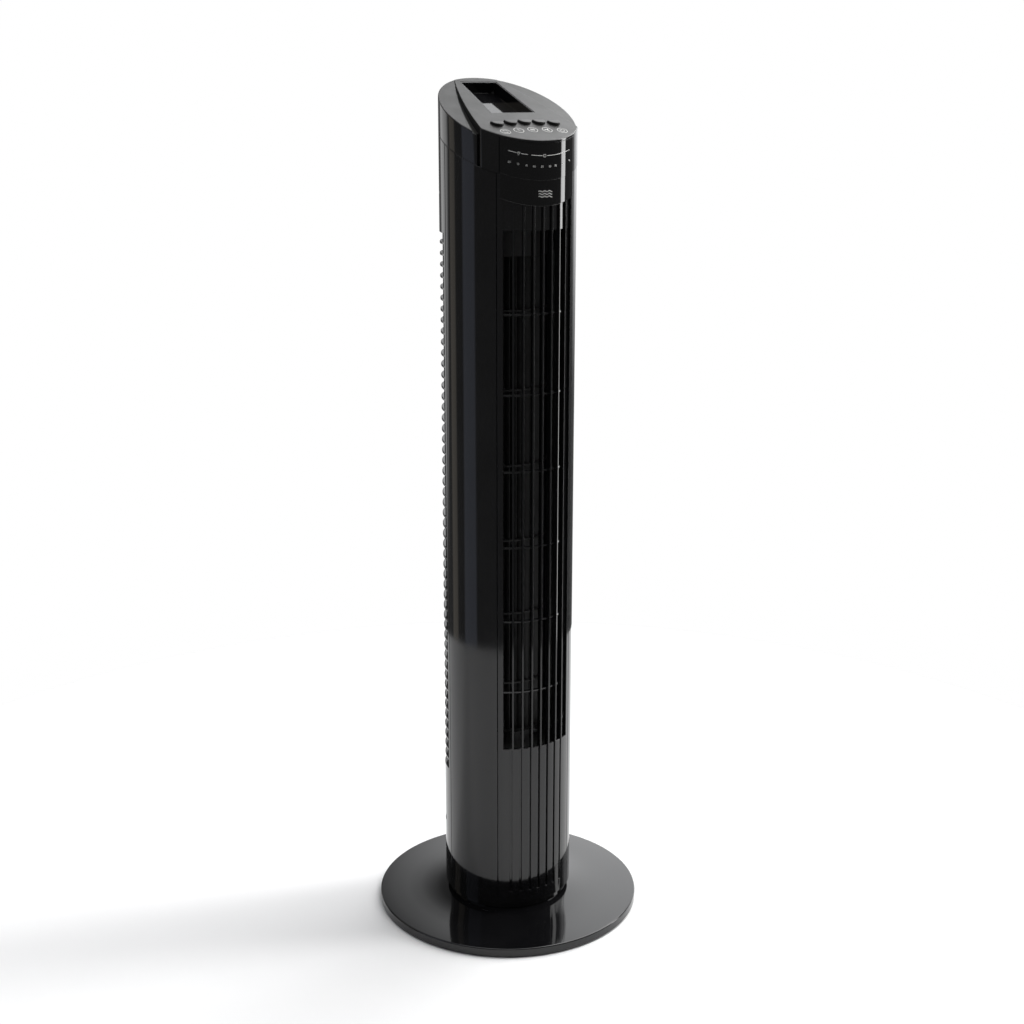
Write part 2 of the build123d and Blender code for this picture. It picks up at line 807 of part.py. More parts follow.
def bowed(points):
    """Symmetric outline whose right side is an arc through three points, from the back to the front."""
    with BuildSketch() as flat:
        with BuildLine():
            right = ThreePointArc(*points)
            left = ThreePointArc(*[(-x, y) for x, y in reversed(points)])
            Line(right @ 1, left @ 0)
            Line(left @ 1, right @ 0)
        make_face()
    return flat.sketch


def wedge(grow=0.0):
    """Plan outline of the raised deck, before it is trimmed to the tower's circle."""
    return bowed([(wedge_side(y) + grow, y) for y in (wedge_reach, 0, -wedge_reach)])


def deck_frame(x, along, depth=0.0):
    """Plane parallel to the deck at a point on it, sunk by depth."""
    return Plane(origin=deck.from_local_coords((x, along, -depth)), x_dir=(1, 0, 0), z_dir=deck.z_dir)


tray_rear_half, tray_front_half, tray_front, tray_rear = 22.0, 26.0, -12.5, 66.0
tray_depth = 12.0
deck_plate = 2.6
button_row = -35.0
button_places = [
    (x, button_row - 3 * (x / (2 * button_pitch)) ** 2)
    for x in [button_pitch * k for k in range(-2, 3)]
]
board_depth = 12.2
board_posts = ((-44.8, button_row), (44.8, button_row))
display_posts = ((-26, 849), (26, 849))

with BuildPart() as cap_void:
    with BuildSketch(Plane.XY.offset(800)):
        Circle(shell_inner)
        add(sector(66.2, 80, -40, 40), mode=Mode.SUBTRACT)
    extrude(amount=130)
    split(bisect_by=cheek.offset(-2.5), keep=Keep.BOTTOM)
    with BuildSketch(Plane.XY.offset(800)):
        add(wedge(-wall))
        Circle(shell_inner, mode=Mode.INTERSECT)
        add(sector(66.2, 80, -40, 40), mode=Mode.SUBTRACT)
    extrude(amount=130)
    split(bisect_by=deck.offset(-deck_plate), keep=Keep.BOTTOM)

with BuildPart() as top_groove:
    with BuildSketch(Plane.XY.offset(800)):
        add(bowed([(wedge_side(56), 56), (wedge_side(0) + groove_width, 0), (wedge_side(-75) + 7, -75)]))
        add(wedge(), mode=Mode.SUBTRACT)
        with Locations((0, 75)):
            Rectangle(150, 46, mode=Mode.SUBTRACT)
    extrude(amount=130)
    split(bisect_by=cheek.offset(-groove), keep=Keep.TOP)

with BuildPart() as console_recess:
    with BuildSketch(Plane.XY.offset(780)):
        add(sector(68.6, 80, -console_edge - gap, console_edge + gap))
    extrude(amount=130)
    split(bisect_by=deck.offset(-2.2), keep=Keep.BOTTOM)

with BuildPart() as top_cap:
    with BuildSketch(Plane.XY.offset(800)):
        Circle(body_r)
    extrude(amount=130)
    split(bisect_by=cheek, keep=Keep.BOTTOM)
    with BuildSketch(Plane.XY.offset(800)):
        add(wedge())
        Circle(body_r, mode=Mode.INTERSECT)
        add(sector(60, deck_r, -52.4, 52.4))
    extrude(amount=130)
    split(bisect_by=deck, keep=Keep.BOTTOM)
    split(bisect_by=seam, keep=Keep.TOP)
    add(top_groove.part, mode=Mode.SUBTRACT)
    with BuildSketch(Plane.XY.offset(800)):
        add(wedge(side_groove))
        add(wedge(), mode=Mode.SUBTRACT)
        Circle(69.4, mode=Mode.SUBTRACT)
        with Locations((0, 45)):
            Rectangle(150, 130, mode=Mode.SUBTRACT)
    extrude(amount=130, mode=Mode.SUBTRACT)
    add(cap_void.part, mode=Mode.SUBTRACT)
    add(console_recess.part, mode=Mode.SUBTRACT)
    with BuildSketch(Plane.XY.offset(826)):
        add(sector(60, 70, -24, 24))
    extrude(amount=19, mode=Mode.SUBTRACT)
    with BuildSketch(deck.offset(1)):
        add(trapezoid(tray_rear_half, tray_front_half, tray_front, tray_rear))
    extrude(amount=-6, mode=Mode.SUBTRACT)
    for place in button_places:
        with BuildSketch(deck_frame(*place, depth=-1)):
            add(half_moon(0.35))
        extrude(amount=-6, mode=Mode.SUBTRACT)
    for place in board_posts:
        with BuildSketch(deck_frame(*place, depth=2)):
            Circle(2.6)
        extrude(amount=-(board_depth - 2.1))
        with BuildSketch(deck_frame(*place, depth=6)):
            Circle(1.0)
        extrude(amount=-8, mode=Mode.SUBTRACT)
    with BuildSketch(Plane.XY.offset(cap_shelf + shelf_drop + gap)):
        with Locations(*[at_bearing(62, b) for b in shelf_bearings]):
            Circle(4)
    extrude(until=Until.NEXT)
    with Locations(*[(*at_bearing(62, b), cap_shelf + 7) for b in shelf_bearings]):
        Cylinder(1.3, 8, mode=Mode.SUBTRACT)
    with BuildSketch(Plane.XZ.offset(57.4)):
        with Locations(*display_posts):
            Circle(2.4)
    extrude(amount=5)
    with Locations(*[(x, -60, z) for x, z in display_posts]):
        Cylinder(0.95, 7, rotation=(90, 0, 0), mode=Mode.SUBTRACT)
top_cap.part.label = "top_cap"

with BuildPart() as cap_screws:
    with BuildSketch(Plane.XY.offset(cap_shelf - 1.8)):
        with Locations(*[at_bearing(62, b) for b in shelf_bearings]):
            Circle(2.8)
    extrude(amount=1.8)
    with BuildSketch(Plane.XY.offset(cap_shelf)):
        with Locations(*[at_bearing(62, b) for b in shelf_bearings]):
            Circle(1.25)
    extrude(amount=9)
cap_screws.part.label = "cap_screws"

with BuildPart() as remote_tray:
    with BuildSketch(deck.offset(-0.3)):
        add(trapezoid(tray_rear_half, tray_front_half, tray_front, tray_rear, -0.15))
    extrude(amount=-(tray_depth + 1.5))
    with BuildSketch(deck.offset(-deck_plate - 0.1)):
        add(trapezoid(tray_rear_half, tray_front_half, tray_front, tray_rear, 1.6))
    extrude(amount=-1.6)
    with BuildSketch(deck):
        add(trapezoid(tray_rear_half, tray_front_half, tray_front, tray_rear, -1.6))
    extrude(amount=-tray_depth, mode=Mode.SUBTRACT)
remote_tray.part.label = "remote_tray"

with BuildPart() as console_panel:
    with BuildSketch(Plane.XY.offset(780)):
        add(sector(68.8, deck_r - 0.2, -console_edge, console_edge))
    extrude(amount=130)
    split(bisect_by=deck.offset(-2.4), keep=Keep.BOTTOM)
    split(bisect_by=console_cut, keep=Keep.TOP)
console_panel.part.label = "console_panel"

with BuildPart() as display_board:
    with BuildSketch(Plane.XZ.offset(55.7)):
        with Locations((0, 836)):
            Rectangle(60, 34)
        with Locations(*display_posts):
            Circle(1.2, mode=Mode.SUBTRACT)
    extrude(amount=1.6)
    with BuildSketch(Plane.XZ.offset(57.3)):
        with GridLocations(6.5, 10, 7, 2):
            with Locations((0, 833)):
                Circle(1.3)
    extrude(amount=3)
display_board.part.label = "display_board"

with BuildPart() as button_board:
    with BuildSketch(deck_frame(0, button_row, board_depth)):
        Rectangle(96, 17)
        with Locations((-44.8, 0), (44.8, 0)):
            Circle(1.3, mode=Mode.SUBTRACT)
    extrude(amount=-1.6)
button_board.part.label = "button_board"

with BuildPart() as tact_switches:
    for place in button_places:
        with BuildSketch(deck_frame(*place, depth=board_depth)):
            Rectangle(6, 6)
        extrude(amount=3.4)
        with BuildSketch(deck_frame(*place, depth=board_depth - 3.4)):
            Circle(1.7)
        extrude(amount=1.0)
tact_switches.part.label = "tact_switches"

with BuildPart() as board_screws:
    for place in board_posts:
        with BuildSketch(deck_frame(*place, depth=board_depth + 1.6)):
            Circle(0.9)
        extrude(amount=5)
        with BuildSketch(deck_frame(*place, depth=board_depth + 1.6)):
            Circle(2.0)
        extrude(amount=-1.3)
    for y, places in ((55.7, display_posts), (board_y - 0.8, ((28, 102), (-28, 102)))):
        with BuildSketch(Plane.XZ.offset(y)):
            with Locations(*places):
                Circle(0.9)
        extrude(amount=5)
        with BuildSketch(Plane.XZ.offset(y)):
            with Locations(*places):
                Circle(2.0)
        extrude(amount=-1.3)
board_screws.part.label = "board_screws"

# Push buttons: standing proud, a little more at the front, with a flange under the deck and a stem.
moon_rear, moon_low, moon_high = 2.5, 2.1, 3.0
button_slope = (moon_high - moon_low) / (moon_rear + button_r)
button_top_slope = sin(radians(deck_tilt) - atan(button_slope)) / cos(radians(deck_tilt) - atan(button_slope))


def push_button(place):
    """One button in its place on the deck."""
    crown = Plane(
        origin=deck.from_local_coords((place[0], place[1] + moon_rear, moon_low)),
        x_dir=(1, 0, 0),
        z_dir=(0, -button_top_slope, 1),
    )
    with BuildPart() as button:
        with BuildSketch(deck_frame(*place, depth=4.0)):
            add(half_moon())
        extrude(amount=10)
        split(bisect_by=crown, keep=Keep.BOTTOM)
        with BuildSketch(deck_frame(*place, depth=2.9)):
            add(half_moon(1.4))
        extrude(amount=-1.2)
        with BuildSketch(deck_frame(*place, depth=4.0)):
            Circle(2)
        extrude(amount=-2.4)
    return button


buttons = [push_button(place) for place in button_places]
for number, button in enumerate(buttons, start=1):
    button.part.label = f"button_{number}"

# ================================================================ files
pieces = [
    base_cover, base_weight, base_plate, rubber_feet, base_screws, swivel_seat, seat_screws, slide_ring,
    post_retainer, retainer_screws, tower_floor, swing_motor, swing_motor_screws, crank, drive_link,
    front_shell, rear_shell, housing_screws, cord_gland, front_grille, motor_bracket, motor_housing,
    stator_core, motor_rotor, impeller, impeller_hub, bearing_carrier, top_bush, bracket_screws,
    motor_screws, air_guide, cutoff_tongue, motor_capacitor, power_board, wire_loom, top_cap,
    cap_screws, remote_tray, console_panel, display_board, button_board, tact_switches, board_screws,
    *buttons,
]
os.makedirs("parts", exist_ok=True)
for piece in pieces:
    export_step(piece.part, f"parts/{piece.part.label}.step")
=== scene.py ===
import json
import math

import bmesh
import bpy
from mathutils import Matrix, Vector


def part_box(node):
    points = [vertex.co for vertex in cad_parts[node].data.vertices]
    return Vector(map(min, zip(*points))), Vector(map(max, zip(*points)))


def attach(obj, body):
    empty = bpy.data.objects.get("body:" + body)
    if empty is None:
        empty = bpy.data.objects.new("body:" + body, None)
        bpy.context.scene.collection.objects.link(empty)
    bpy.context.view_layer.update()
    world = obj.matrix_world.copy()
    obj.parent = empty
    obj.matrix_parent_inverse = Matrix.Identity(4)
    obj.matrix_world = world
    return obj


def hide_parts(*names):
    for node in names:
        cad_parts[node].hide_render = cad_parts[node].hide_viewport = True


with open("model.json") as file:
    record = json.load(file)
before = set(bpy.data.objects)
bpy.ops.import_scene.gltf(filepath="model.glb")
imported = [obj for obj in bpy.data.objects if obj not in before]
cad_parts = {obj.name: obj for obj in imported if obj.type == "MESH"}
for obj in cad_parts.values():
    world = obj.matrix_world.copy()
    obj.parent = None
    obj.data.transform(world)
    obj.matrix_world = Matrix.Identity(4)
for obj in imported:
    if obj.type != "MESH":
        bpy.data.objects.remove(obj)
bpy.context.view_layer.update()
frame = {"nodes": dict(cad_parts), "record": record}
nodes = frame["nodes"]
mm = 0.001  # pieces are drawn in millimetres and brought to metres at the end
print("frame loaded:", len(nodes), "nodes")


def nodeBox(name):
    # corners of a CAD node in millimetres
    low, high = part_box(name)
    return low / mm, high / mm


# main sizes of the tower, read from the frame; bearings are degrees from the front (-Y) towards +X
tower = {
    "radius": nodeBox("front_shell")[1].x,
    "foot": nodeBox("front_shell")[0].z,
    "wall": 2.4,
    "rim": nodeBox("top_cap")[1].z,
    "deckRadius": -nodeBox("top_cap")[0].y,
    "deckSlope": 0.42,
    "cheekSlope": 0.48,
    "seamHeight": 847.4,
    "seamSlope": 0.44,
    "consoleFoot": 831.2,
    "consoleSlope": 0.58,
    "sideSeam": 94.0,
    "insertEdge": 39.4,
    "above": 930.0,
}


# planes and places
def slope(height, rise, lift=0.0):
    # plane through the axis at a height, rising towards the back, as (point, normal)
    normal = Vector((0, -rise, 1)).normalized()
    return Vector((0, 0, height)) + normal * lift, normal


def deckPlane(lift=0.0):
    return slope(tower["rim"] - tower["deckSlope"] * tower["radius"], tower["deckSlope"], lift)


def cheekPlane(lift=0.0):
    return slope(tower["rim"] - tower["cheekSlope"] * tower["radius"], tower["cheekSlope"], lift)


def seamPlane(lift=0.0):
    return slope(tower["seamHeight"], tower["seamSlope"], lift)


def consolePlane(lift=0.0):
    return slope(tower["consoleFoot"], tower["consoleSlope"], lift)


def bearingPoint(radius, bearing, z=0.0):
    a = math.radians(bearing)
    return Vector((radius * math.sin(a), -radius * math.cos(a), z))


def deckMatrix(x=0.0, along=0.0, lift=0.0):
    # local X is across, local Y runs up the deck towards the back, local Z stands on the deck
    point, normal = deckPlane(lift)
    up = Vector((0, 1, tower["deckSlope"])).normalized()
    turn = Matrix((Vector((1, 0, 0)), up, normal)).transposed().to_4x4()
    return Matrix.Translation(point + Vector((x, 0, 0)) + up * along) @ turn


def wallMatrix(radius, bearing, z):
    # local X runs round the tower, local Y is up, local Z points out of the wall
    a = math.radians(bearing)
    out = Vector((math.sin(a), -math.cos(a), 0))
    across = Vector((math.cos(a), math.sin(a), 0))
    turn = Matrix((across, Vector((0, 0, 1)), out)).transposed().to_4x4()
    return Matrix.Translation(bearingPoint(radius, bearing, z)) @ turn


# drawing tools
def turnRound(bm, geom, degrees, step=2.0, centre=(0, 0, 0), axis=(0, 0, 1), whole=False):
    bmesh.ops.spin(
        bm, geom=geom, cent=centre, axis=axis, angle=math.radians(degrees),
        steps=max(1, round(abs(degrees) / step)), use_merge=whole, use_duplicate=False,
    )


def wallSheet(bm, radius, start, end, levels, step=2.0):
    # open skin on a cylinder between two bearings, with a row of faces between each pair of levels
    line = [bm.verts.new(bearingPoint(radius, start, z)) for z in levels]
    edges = [bm.edges.new(pair) for pair in zip(line, line[1:])]
    turnRound(bm, [*line, *edges], end - start, step)


def thicken(bm, radius, thickness):
    # gives an open skin its wall, inwards
    bmesh.ops.remove_doubles(bm, verts=bm.verts, dist=0.001)
    grown = bmesh.ops.extrude_face_region(bm, geom=list(bm.faces))
    inner = [v for v in grown["geom"] if isinstance(v, bmesh.types.BMVert)]
    share = (radius - thickness) / radius
    bmesh.ops.scale(bm, vec=(share, share, 1), verts=inner)
    bmesh.ops.recalc_face_normals(bm, faces=bm.faces)


def sectorBlock(bm, inner, outer, start, end, low, high, step=2.0):
    # closed block between two radii, two bearings and two heights
    ring = [(inner, low), (outer, low), (outer, high), (inner, high)]
    corners = [bm.verts.new(bearingPoint(r, start, z)) for r, z in ring]
    face = bm.faces.new(corners)
    turnRound(bm, [face, *face.edges, *corners], end - start, step)
    bmesh.ops.recalc_face_normals(bm, faces=bm.faces)


def lathe(bm, profile, step=2.5):
    # closed outline of (radius, height) turned all the way round
    loop = [bm.verts.new((r, 0, z)) for r, z in profile]
    edges = [bm.edges.new((loop[i - 1], loop[i])) for i in range(len(loop))]
    turnRound(bm, [*loop, *edges], 360, step, whole=True)
    bmesh.ops.remove_doubles(bm, verts=bm.verts, dist=0.001)
    bmesh.ops.recalc_face_normals(bm, faces=bm.faces)


def column(radius, low, high, segments=180, centre=(0, 0)):
    # closed upright cylinder
    bm = bmesh.new()
    bmesh.ops.create_circle(
        bm, cap_ends=True, radius=radius, segments=segments, matrix=Matrix.Translation((*centre, low)),
    )
    raised(bm, list(bm.faces), high - low)
    return bm


def raised(bm, faces, height):
    # pulls faces up into a closed solid
    grown = bmesh.ops.extrude_face_region(bm, geom=faces)
    moved = [v for v in grown["geom"] if isinstance(v, bmesh.types.BMVert)]
    bmesh.ops.translate(bm, vec=(0, 0, height), verts=moved)
    bmesh.ops.recalc_face_normals(bm, faces=bm.faces)


def outline(points, low, high):
    # closed prism over an outline in X and Y
    bm = bmesh.new()
    face = bm.faces.new([bm.verts.new((x, y, low)) for x, y in points])
    raised(bm, [face], high - low)
    return bm


def keepBelow(bm, plane, close=True):
    # removes what lies above a plane and closes the cut
    bmesh.ops.bisect_plane(
        bm, geom=[*bm.verts, *bm.edges, *bm.faces], dist=0.0001, plane_co=plane[0], plane_no=plane[1],
        clear_outer=True, clear_inner=False,
    )
    if close:
        bmesh.ops.holes_fill(bm, edges=[e for e in bm.edges if e.is_boundary], sides=0)
        bmesh.ops.recalc_face_normals(bm, faces=bm.faces)


def keepAbove(bm, plane, close=True):
    keepBelow(bm, (plane[0], -plane[1]), close)


def roundEdges(bm, width, segments=3, limit=32.0, wanted=None):
    # rounds the sharp edges, or only those that wanted picks
    sharp = [e for e in bm.edges if len(e.link_faces) == 2 and e.calc_face_angle() > math.radians(limit)]
    if wanted:
        sharp = [e for e in sharp if wanted((e.verts[0].co + e.verts[1].co) / 2)]
    bmesh.ops.bevel(
        bm, geom=sharp, offset=width, offset_type="OFFSET", segments=segments, profile=0.5,
        affect="EDGES", clamp_overlap=True, material=-1,
    )


def combine(base, tool, operation):
    # boolean of two closed solids
    holders = []
    for bm in (base, tool):
        mesh = bpy.data.meshes.new("blank")
        bm.to_mesh(mesh)
        bm.free()
        holders.append(bpy.data.objects.new("blank", mesh))
        bpy.context.scene.collection.objects.link(holders[-1])
    carve = holders[0].modifiers.new("carve", "BOOLEAN")
    carve.object = holders[1]
    carve.operation = operation
    carve.solver = "EXACT"
    bpy.context.view_layer.update()
    done = holders[0].evaluated_get(bpy.context.evaluated_depsgraph_get())
    result = bmesh.new()
    result.from_mesh(done.to_mesh())
    done.to_mesh_clear()
    for holder in holders:
        bpy.data.meshes.remove(holder.data)
    return result


def join(base, extra):
    # adds another solid to a piece without merging them
    mesh = bpy.data.meshes.new("extra")
    extra.to_mesh(mesh)
    extra.free()
    base.from_mesh(mesh)
    bpy.data.meshes.remove(mesh)


def finished(name, bm, body, materials, replaced=(), sharp=50.0, pick=None):
    # writes the mesh, shades it, and fixes the piece to its body
    bmesh.ops.scale(bm, vec=(mm, mm, mm), verts=bm.verts)
    bm.normal_update()
    for face in bm.faces:
        face.smooth = True
        if pick:
            face.material_index = pick(face)
    for edge in bm.edges:
        edge.smooth = len(edge.link_faces) == 2 and edge.calc_face_angle() < math.radians(sharp)
    mesh = bpy.data.meshes.new(name)
    bm.to_mesh(mesh)
    bm.free()
    for material in materials:
        mesh.materials.append(material)
    piece = bpy.data.objects.new(name, mesh)
    bpy.context.scene.collection.objects.link(piece)
    even = piece.modifiers.new("evenShading", "WEIGHTED_NORMAL")
    even.keep_sharp = True
    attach(piece, body)
    if replaced:
        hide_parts(*replaced)
    return piece


# materials
def startMaterial(name):
    material = bpy.data.materials.new(name)
    material.use_nodes = True
    tree = material.node_tree
    shader = tree.nodes["Principled BSDF"]
    place = tree.nodes.new("ShaderNodeTexCoord")
    return material, tree, shader, place


def addNoise(tree, place, scale, detail=4.0, rough=0.55, stretch=(1, 1, 1)):
    turn = tree.nodes.new("ShaderNodeMapping")
    turn.inputs["Scale"].default_value = stretch
    tree.links.new(place.outputs["Object"], turn.inputs["Vector"])
    noise = tree.nodes.new("ShaderNodeTexNoise")
    noise.inputs["Scale"].default_value = scale
    noise.inputs["Detail"].default_value = detail
    noise.inputs["Roughness"].default_value = rough
    tree.links.new(turn.outputs["Vector"], noise.inputs["Vector"])
    return noise.outputs["Fac"]


def spread(tree, source, low, high, target):
    # carries a 0 to 1 pattern to a socket between two values
    reach = tree.nodes.new("ShaderNodeMapRange")
    reach.inputs["From Min"].default_value = 0.3
    reach.inputs["From Max"].default_value = 0.7
    reach.inputs["To Min"].default_value = low
    reach.inputs["To Max"].default_value = high
    tree.links.new(source, reach.inputs["Value"])
    tree.links.new(reach.outputs["Result"], target)


def blendColours(tree, source, dark, light, target):
    ramp = tree.nodes.new("ShaderNodeValToRGB")
    ramp.color_ramp.elements[0].position = 0.35
    ramp.color_ramp.elements[0].color = (*dark, 1)
    ramp.color_ramp.elements[1].position = 0.65
    ramp.color_ramp.elements[1].color = (*light, 1)
    tree.links.new(source, ramp.inputs["Fac"])
    tree.links.new(ramp.outputs["Color"], target)


def addBump(tree, source, shader, strength, distance):
    bump = tree.nodes.new("ShaderNodeBump")
    bump.inputs["Strength"].default_value = strength
    bump.inputs["Distance"].default_value = distance
    tree.links.new(source, bump.inputs["Height"])
    tree.links.new(bump.outputs["Normal"], shader.inputs["Normal"])


def moulded(
    name, dark, light, roughness, grain, grainHeight, grainSize=900.0, metallic=0.0, stretch=(1, 1, 1),
):
    # moulded or turned finish: cloudy colour, uneven polish and a fine grain
    material, tree, shader, place = startMaterial(name)
    shader.inputs["Metallic"].default_value = metallic
    clouds = addNoise(tree, place, 14.0)
    blendColours(tree, clouds, dark, light, shader.inputs["Base Color"])
    polish = addNoise(tree, place, 60.0, stretch=stretch)
    spread(tree, polish, roughness[0], roughness[1], shader.inputs["Roughness"])
    addBump(tree, addNoise(tree, place, grainSize, 2.0, stretch=stretch), shader, grain, grainHeight * mm)
    return material


def circuitBoard(name):
    material, tree, shader, place = startMaterial(name)
    tracks = tree.nodes.new("ShaderNodeTexBrick")
    tracks.inputs["Scale"].default_value = 130.0
    tracks.inputs["Color1"].default_value = (0.01, 0.09, 0.035, 1)
    tracks.inputs["Color2"].default_value = (0.012, 0.12, 0.05, 1)
    tracks.inputs["Mortar"].default_value = (0.03, 0.2, 0.08, 1)
    tree.links.new(place.outputs["Object"], tracks.inputs["Vector"])
    tree.links.new(tracks.outputs["Color"], shader.inputs["Base Color"])
    spread(tree, addNoise(tree, place, 90.0), 0.3, 0.45, shader.inputs["Roughness"])
    return material


finish = {
    "gloss": moulded(
        "gloss_black", (0.0035, 0.0035, 0.004), (0.006, 0.006, 0.0065),
        (0.05, 0.085), 0.03, 0.01, 260.0,
    ),
    "satin": moulded(
        "satin_black", (0.02, 0.02, 0.0195), (0.028, 0.028, 0.027),
        (0.33, 0.42), 0.25, 0.02, 1500.0,
    ),
    "console": moulded(
        "console_gloss", (0.001, 0.0011, 0.0013), (0.002, 0.002, 0.0022),
        (0.03, 0.05), 0.02, 0.01, 200.0,
    ),
    "inner": moulded(
        "inner_plastic", (0.006, 0.006, 0.006), (0.01, 0.01, 0.01),
        (0.5, 0.62), 0.3, 0.03, 900.0,
    ),
    "white": moulded(
        "white_plastic", (0.72, 0.72, 0.7), (0.8, 0.8, 0.78),
        (0.4, 0.5), 0.2, 0.02, 900.0,
    ),
    "steel": moulded(
        "plated_steel", (0.5, 0.5, 0.52), (0.62, 0.62, 0.64),
        (0.22, 0.38), 0.25, 0.02, 700.0, 1.0, (1, 1, 0.1),
    ),
    "alloy": moulded(
        "motor_alloy", (0.62, 0.63, 0.65), (0.72, 0.73, 0.75),
        (0.25, 0.36), 0.2, 0.02, 600.0, 1.0, (0.2, 0.2, 1),
    ),
    "bronze": moulded(
        "sintered_bronze", (0.42, 0.27, 0.11), (0.52, 0.35, 0.16),
        (0.38, 0.5), 0.5, 0.03, 1600.0, 1.0,
    ),
    "rubber": moulded(
        "rubber", (0.012, 0.012, 0.012), (0.02, 0.02, 0.02),
        (0.7, 0.82), 0.35, 0.04, 1100.0,
    ),
    "ink": moulded(
        "printed_ink", (0.62, 0.62, 0.6), (0.72, 0.72, 0.7),
        (0.4, 0.5), 0.1, 0.01, 1200.0,
    ),
    "greyInk": moulded(
        "printed_grey", (0.5, 0.5, 0.48), (0.58, 0.58, 0.56),
        (0.4, 0.5), 0.1, 0.01, 1200.0,
    ),
    "board": circuitBoard("solder_masked_board"),
}
satinShine = 0.22
finish["satin"].node_tree.nodes["Principled BSDF"].inputs["Specular IOR Level"].default_value = satinShine
slotFinish = {
    "gloss_black": "gloss", "satin_black": "satin", "console_gloss": "console", "inner_plastic": "inner",
    "white_plastic": "white", "plated_steel": "steel", "motor_alloy": "alloy", "bronze": "bronze",
    "rubber": "rubber", "board": "board",
}
for part in frame["record"]["subparts"]:
    mesh = nodes[part["node"]].data
    mesh.materials.clear()
    mesh.materials.append(finish[slotFinish[part["material_slot"]]])
print("materials made:", len(finish))


# base
discRise = 3.6
disc = {
    "radius": nodeBox("base_cover")[1].x,
    "low": nodeBox("base_cover")[0].z,
    "crown": nodeBox("base_cover")[1].z - discRise,
    "rise": discRise,
    "swellEnd": 108.0,
    "swellRun": 40.0,
    "swellPower": 1.8,
    "fall": 2.0,
    "fallStart": 90.0,
    "fallPower": 1.5,
    "innerFlat": 100.0,
    "rings": (0, 0.05, 0.11, 0.18, 0.28, 0.42, 0.6, 0.8, 1),
    "flat": 68.0,
    "hole": 24.0,
    "skin": 2.5,
    "rounding": 1.5,
}


def discHeight(radius):
    # the disc swells towards the collar and falls a little towards its rim
    inwards = max(0.0, (disc["swellEnd"] - radius) / disc["swellRun"])
    outwards = max(0.0, (radius - disc["fallStart"]) / (disc["radius"] - disc["fallStart"]))
    swell = disc["rise"] * inwards ** disc["swellPower"]
    return disc["crown"] + swell - disc["fall"] * outwards ** disc["fallPower"]


def baseDisc():
    edgeTop = disc["crown"] - disc["fall"]
    inside = disc["radius"] - disc["skin"]
    crownRadii = [disc["flat"] + share * (disc["radius"] - disc["flat"]) for share in disc["rings"]]
    bm = bmesh.new()
    lathe(bm, [
        (disc["hole"], disc["crown"]),
        (disc["flat"], disc["crown"]),
        *[(radius, discHeight(radius)) for radius in crownRadii],
        (disc["radius"], disc["low"]),
        (inside, disc["low"]),
        (inside, edgeTop - disc["skin"]),
        (disc["innerFlat"], disc["crown"] - disc["skin"]),
        (disc["hole"], disc["crown"] - disc["skin"]),
    ])
    roundEdges(bm, disc["rounding"], 4, wanted=lambda p: p.xy.length > inside and p.z > edgeTop - 1)
    roundEdges(bm, 0.5, 2, wanted=lambda p: p.z < disc["low"] + 0.1)
    finished("base_disc", bm, "base", [finish["gloss"]], ["base_cover"])


seatLow, seatHigh = nodeBox("swivel_seat")
collar = {"radius": seatHigh.x, "low": seatLow.z, "top": 22.6, "wall": 3.0}
post = {"radius": 22.0, "bore": 18.0, "top": seatHigh.z, "track": (40.0, 56.0, 19.1), "floor": 16.0}


def swivelCollar():
    inner, outer, track = post["track"]
    bm = bmesh.new()
    lathe(bm, [
        (post["bore"], collar["low"]),
        (collar["radius"], collar["low"]),
        (collar["radius"], collar["top"]),
        (collar["radius"] - collar["wall"], collar["top"]),
        (collar["radius"] - collar["wall"], post["floor"]),
        (outer, post["floor"]),
        (outer, track),
        (inner, track),
        (inner, post["floor"]),
        (post["radius"], post["floor"]),
        (post["radius"], post["top"]),
        (post["bore"], post["top"]),
    ])
    roundEdges(bm, 0.6, 2)
    finished("swivel_collar", bm, "base", [finish["gloss"]], ["swivel_seat"])


baseDisc()
swivelCollar()
print("base drawn")


# tower shells
shell = {
    "shelves": (31.0, 199.7, 767.7),
    "shelfDrop": 4.2,
    "shelfBearings": (-70, 70),
    "shelfInner": 60.0,
    "insertStart": 40.0,
    "backWall": (65.2, 67.4),
    "rounding": 0.5,
    "screwX": 64.2,
    "screwHeights": (100.0, 800.0),
}


def frontShell():
    r, wall = tower["radius"], tower["wall"]
    bm = bmesh.new()
    near, far = shell["insertStart"], tower["sideSeam"]
    for start, end in ((near, far), (-far, -near)):
        wallSheet(bm, r, start, end, (tower["foot"], tower["above"]), 1.8)
    keepBelow(bm, seamPlane(-0.3), close=False)
    thicken(bm, r, wall)
    roundEdges(bm, shell["rounding"], 3)
    low, high = shell["backWall"]
    for foot, head in ((tower["foot"], 207.0), (768.0, tower["above"])):
        wall = bmesh.new()
        sectorBlock(wall, low, high, -41, 41, foot, head)
        keepBelow(wall, seamPlane(-0.3))
        join(bm, wall)
    for side in (-1, 1):
        flange = bmesh.new()
        edges = sorted((side * shell["insertStart"], side * 44))
        sectorBlock(flange, low, r - 1, *edges, tower["foot"], tower["above"], 1.0)
        keepBelow(flange, seamPlane(-0.5))
        join(bm, flange)
    for top in shell["shelves"]:
        for bearing in shell["shelfBearings"]:
            sides = bearing - 8, bearing + 8
            sectorBlock(bm, shell["shelfInner"], r - 1.4, *sides, top - shell["shelfDrop"], top)
    finished("front_housing", bm, "tower", [finish["gloss"]], ["front_shell"])


louvre = {
    "low": 167.0,
    "high": 760.0,
    "rows": 51,
    "slat": 2.4,
    "inner": 65.8,
    "outer": 70.7,
    "window": (99.0, 261.0),
    "slatEnds": (98.0, 262.0),
    "ribs": (120, 150, 180, 210, 240),
    "ribRadii": (63.4, 67.8),
}


